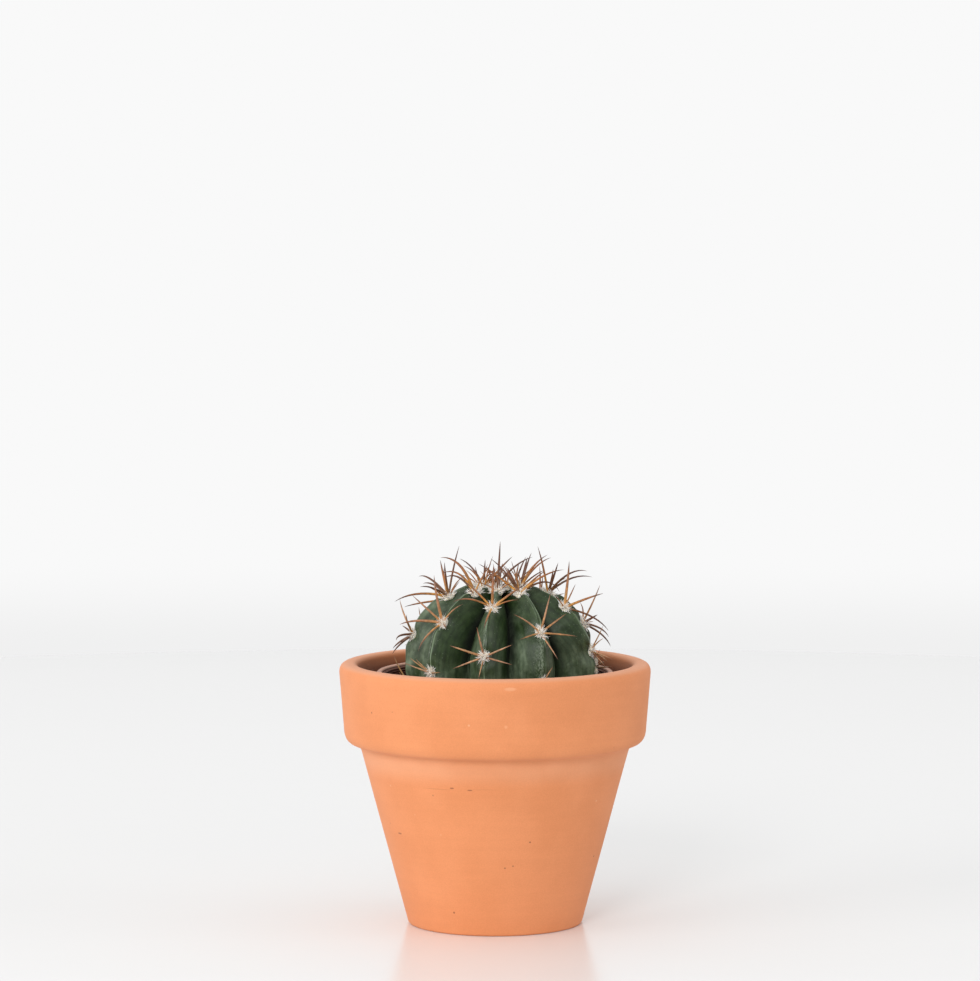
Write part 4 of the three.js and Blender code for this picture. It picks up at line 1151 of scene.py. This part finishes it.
spine_rng = np.random.default_rng(growth_seed)
cushions = [(rib, order) for rib, places in enumerate(rib_cushions) for order in range(len(places))]
stars = [spine_star(rib, order, tuft_distance[number]) for number, (rib, order) in enumerate(cushions)]
star_rows = [(number, *spine) for number, star in enumerate(stars) for spine in star]
star_names = [(*cushions[number], order) for number, star in enumerate(stars) for order in range(len(star))]
bud_number = cushion_count + np.repeat(np.arange(len(buds)), spines_a_bud)
bud_rows = np.column_stack([bud_number, *(spine_rng.uniform(*span, len(bud_number))
                                          for span in ((-180, 180), bud_lengths, bud_lifts, bud_bends))])
spine_table = np.concatenate([star_rows, bud_rows])
spine_number = spine_table[:, 0].astype(int)
is_dark = np.array([name in dark_spines for name in star_names] + [False] * len(bud_rows))
spine_clock, spine_length, spine_lift, spine_bend = spine_table[:, 1:].T
spine_out = outwards[spine_number]
clock = np.radians(spine_clock)[:, None]
spine_along = np.cos(clock) * to_crown[spine_number] + np.sin(clock) * to_right[spine_number]


def raised(degrees):
    """The direction at that lift above the skin, in the plane of each spine."""
    angle = np.radians(degrees)[:, None]
    return np.cos(angle) * spine_along + np.sin(angle) * spine_out


def kept_clear(points):
    """Points moved up off the soil, and in from the cup's wall and the clay rim where they are as low."""
    height = np.maximum(points[:, 2], soil_level + spine_clearance)
    cup_limit = cup_wall_top - cup_wall - spine_clearance
    clay_limit = rim_inner_radius - spine_clearance
    limit = np.where(height < cup_rim_height + spine_clearance, cup_limit, clay_limit)
    reach = np.hypot(points[:, 0], points[:, 1])
    inwards = np.where((height < pot_height + spine_clearance) & (reach > limit), limit / reach, 1.0)
    return np.stack([points[:, 0] * inwards, points[:, 1] * inwards, height], axis=-1)


spine_root = seat[spine_number] + spine_root_lift * spine_out
start_lift = spine_lift + (1 - spine_turn_share) * spine_bend
to_turn = spine_length * np.sin(np.radians(spine_turn_share * spine_bend)) / np.sin(np.radians(spine_bend))
spine_middle = kept_clear(spine_root + raised(start_lift) * to_turn[:, None])
spine_tip = kept_clear(spine_root + raised(spine_lift) * spine_length[:, None])
spine_sunk = spine_root - spine_root_depth * raised(start_lift)
spine_side = np.cross(spine_along, spine_out)
spine_side /= np.linalg.norm(spine_side, axis=-1, keepdims=True)
swelling = 1 + root_swelling * np.exp(-(spine_steps / root_swelling_reach) ** 2)
spine_girth = spine_rng.uniform(*girth_draw, len(spine_table))
spine_girth *= np.clip(spine_length / usual_spine, *girth_by_length)
spine_girth[is_dark] = dark_girth
taper = (1 - spine_steps ** taper_start) ** taper_power
spine_rings = spine_radius * spine_girth[:, None] * taper * swelling
spine_points, spine_faces = needles(spine_sunk, spine_middle, spine_tip, spine_side, spine_rings,
                                    spine_steps, spine_sides, spine_flatness)
points_a_spine = len(spine_steps) * spine_sides + 2
spine_share = np.append(np.repeat(spine_steps, spine_sides), [0.0, 1.0])

horn = new_finish("horny_spine", Roughness=0.38, Specular_IOR_Level=0.5, Subsurface_Weight=0.08,
                  Subsurface_Scale=0.0006)
horn_share, horn_tone, horn_age = [own_value(horn, name) for name in ("share", "tone", "age")]
horn_fleck = grain(horn, own_place(horn), 1.4, 4.0)
horn_young = mixed(horn, between(horn, horn_share, 0.10, 0.50), horn_root, horn_brown)
horn_young = mixed(horn, between(horn, horn_share, 0.50, 0.95), horn_young, horn_tip)
horn_tan = mixed(horn, between(horn, horn_tone, 0.0, 0.5), *tan_tints)
horn_old = mixed(horn, between(horn, horn_share, 0.05, 0.45), old_root, horn_tan)
horn_old = mixed(horn, between(horn, horn_share, 0.60, 1.0), horn_old, old_tip)
horn_colour = mixed(horn, between(horn, horn_age, 0.20, 0.52), horn_young, horn_old)
red_share = times(horn, between(horn, horn_tone, 0.50, 0.66), 0.40)
horn_colour = mixed(horn, red_share, horn_colour, horn_red)
dark_share = times(horn, between(horn, horn_tone, 0.72, 0.96), 0.68)
horn_colour = mixed(horn, dark_share, horn_colour, horn_dark)
horn_colour = shaded(horn, horn_colour, horn_fleck, fleck_tints)
dress(horn, horn_colour, (horn_fleck, 0.03))

spine_tone = spine_rng.random(len(spine_table))
spine_tone *= np.where(tuft_distance[spine_number] < young_reach, young_tone, old_tone)
spine_tone[is_dark] = dark_tone
make_piece("cactus_spines", spine_points, spine_faces, horn, "plant", "cactus",
           share=np.tile(spine_share, len(spine_table)), tone=np.repeat(spine_tone, points_a_spine),
           age=np.repeat(tuft_distance[spine_number] / crest_length, points_a_spine))

# Studio
# A glossy white table top, a white room that is dimmer on the right and in front, and three soft lights:
# one from the left, one beside the camera and a weak one from the right. The camera looks slightly down
# through a long lens.
table_radius = 0.86
camera_lens = 161.1
camera_place = (-0.001757, -1.54288, 0.272525)
camera_pitch = 4.4135
lights = [
    ("key_light", (-1.876, -0.998, 0.64), 1.2, 12.0),
    ("front_light", (-0.61, -2.275, 1.17), 0.7, 22.0),
    ("fill_light", (1.71, -0.30, 0.54), 0.8, 3.8),
]
bright_side = (-0.8, 0.6, 0.0)
room_dim, room_bright, room_overhead = 0.5, 0.9, 0.85
overhead_start, overhead_full = 0.15, 0.9
floor_haze, wall_white = 0.871, 0.947
haze_start, haze_end = -0.113, -0.092
# The table's grain tints, and the paler white of the painted light on its far part.
table_tints, table_far_light_white = ((0.857, 0.86, 0.86), (0.877, 0.88, 0.878)), (0.905, 0.905, 0.905)
table_far_light_band = (0.05, 0.45, 0.68, 1.0)
table_sides = 128

table_finish = new_finish("white_table", Roughness=0.20, Specular_IOR_Level=0.20)
table_place = own_place(table_finish)
table_colour = mixed(table_finish, grain(table_finish, table_place, 120.0), *table_tints)
# Painted light: the far part of the table is paler, making up for the lamps' light falling off there.
table_far_light = band(table_finish, one_of(table_finish, table_place, "Y"), table_far_light_band)
table_colour = mixed(table_finish, table_far_light, table_colour, table_far_light_white)
dress(table_finish, table_colour, (grain(table_finish, table_place, 30.0), 0.02))
table_mesh = bpy.data.meshes.new("table_top")
table_rim = around(table_radius, circle(table_sides), 0.0)
table_mesh.from_pydata(table_rim.tolist(), [], [list(range(table_sides))])
table_mesh.materials.append(table_finish)
table = placed("table_top", table_mesh)

world = bpy.data.worlds.new("white_room")
world.use_nodes = True
room_way = add_node(world, "TexCoord", {}).outputs["Generated"]
room_height = one_of(world, room_way, "Z")
room_inputs = {0: room_way, 1: bright_side}
room_side = add_node(world, "VectorMath", room_inputs, operation="DOT_PRODUCT").outputs["Value"]
side_light = blended(world, between(world, room_side, -0.6, 0.6), room_dim, room_bright)
overhead = between(world, room_height, overhead_start, overhead_full)
room_light = blended(world, overhead, side_light, room_overhead)
wall_seen = blended(world, between(world, room_height, haze_start, haze_end), floor_haze, wall_white)
is_seen = add_node(world, "LightPath", {}).outputs["Is Camera Ray"]
room_strength = blended(world, is_seen, room_light, wall_seen)
room_shader = world.node_tree.nodes["Background"]
room_shader.inputs["Color"].default_value = (1.0, 1.0, 1.0, 1.0)
world.node_tree.links.new(room_strength, room_shader.inputs["Strength"])
bpy.context.scene.world = world


def soft_light(name, place, size, power):
    """A square area light of that size, turned to the middle of the object."""
    light = bpy.data.lights.new(name, "AREA")
    light.size = size
    light.energy = power
    lamp = placed(name, light)
    lamp.location = place
    middle = (cad_low + cad_high) / 2
    lamp.rotation_euler = (middle - lamp.location).to_track_quat("-Z", "Y").to_euler()


for light in lights:
    soft_light(*light)

camera_data = bpy.data.cameras.new("camera")
camera_data.sensor_width = 36.0
camera_data.lens = camera_lens
camera_data.clip_start = 0.05
camera = placed("camera", camera_data)
camera.location = camera_place
camera.rotation_euler = (np.radians(90 - camera_pitch), 0, 0)
bpy.context.scene.camera = camera
bpy.context.scene.view_settings.view_transform = "Standard"

# Update
# The view layer is brought up to date.
bpy.context.view_layer.update()
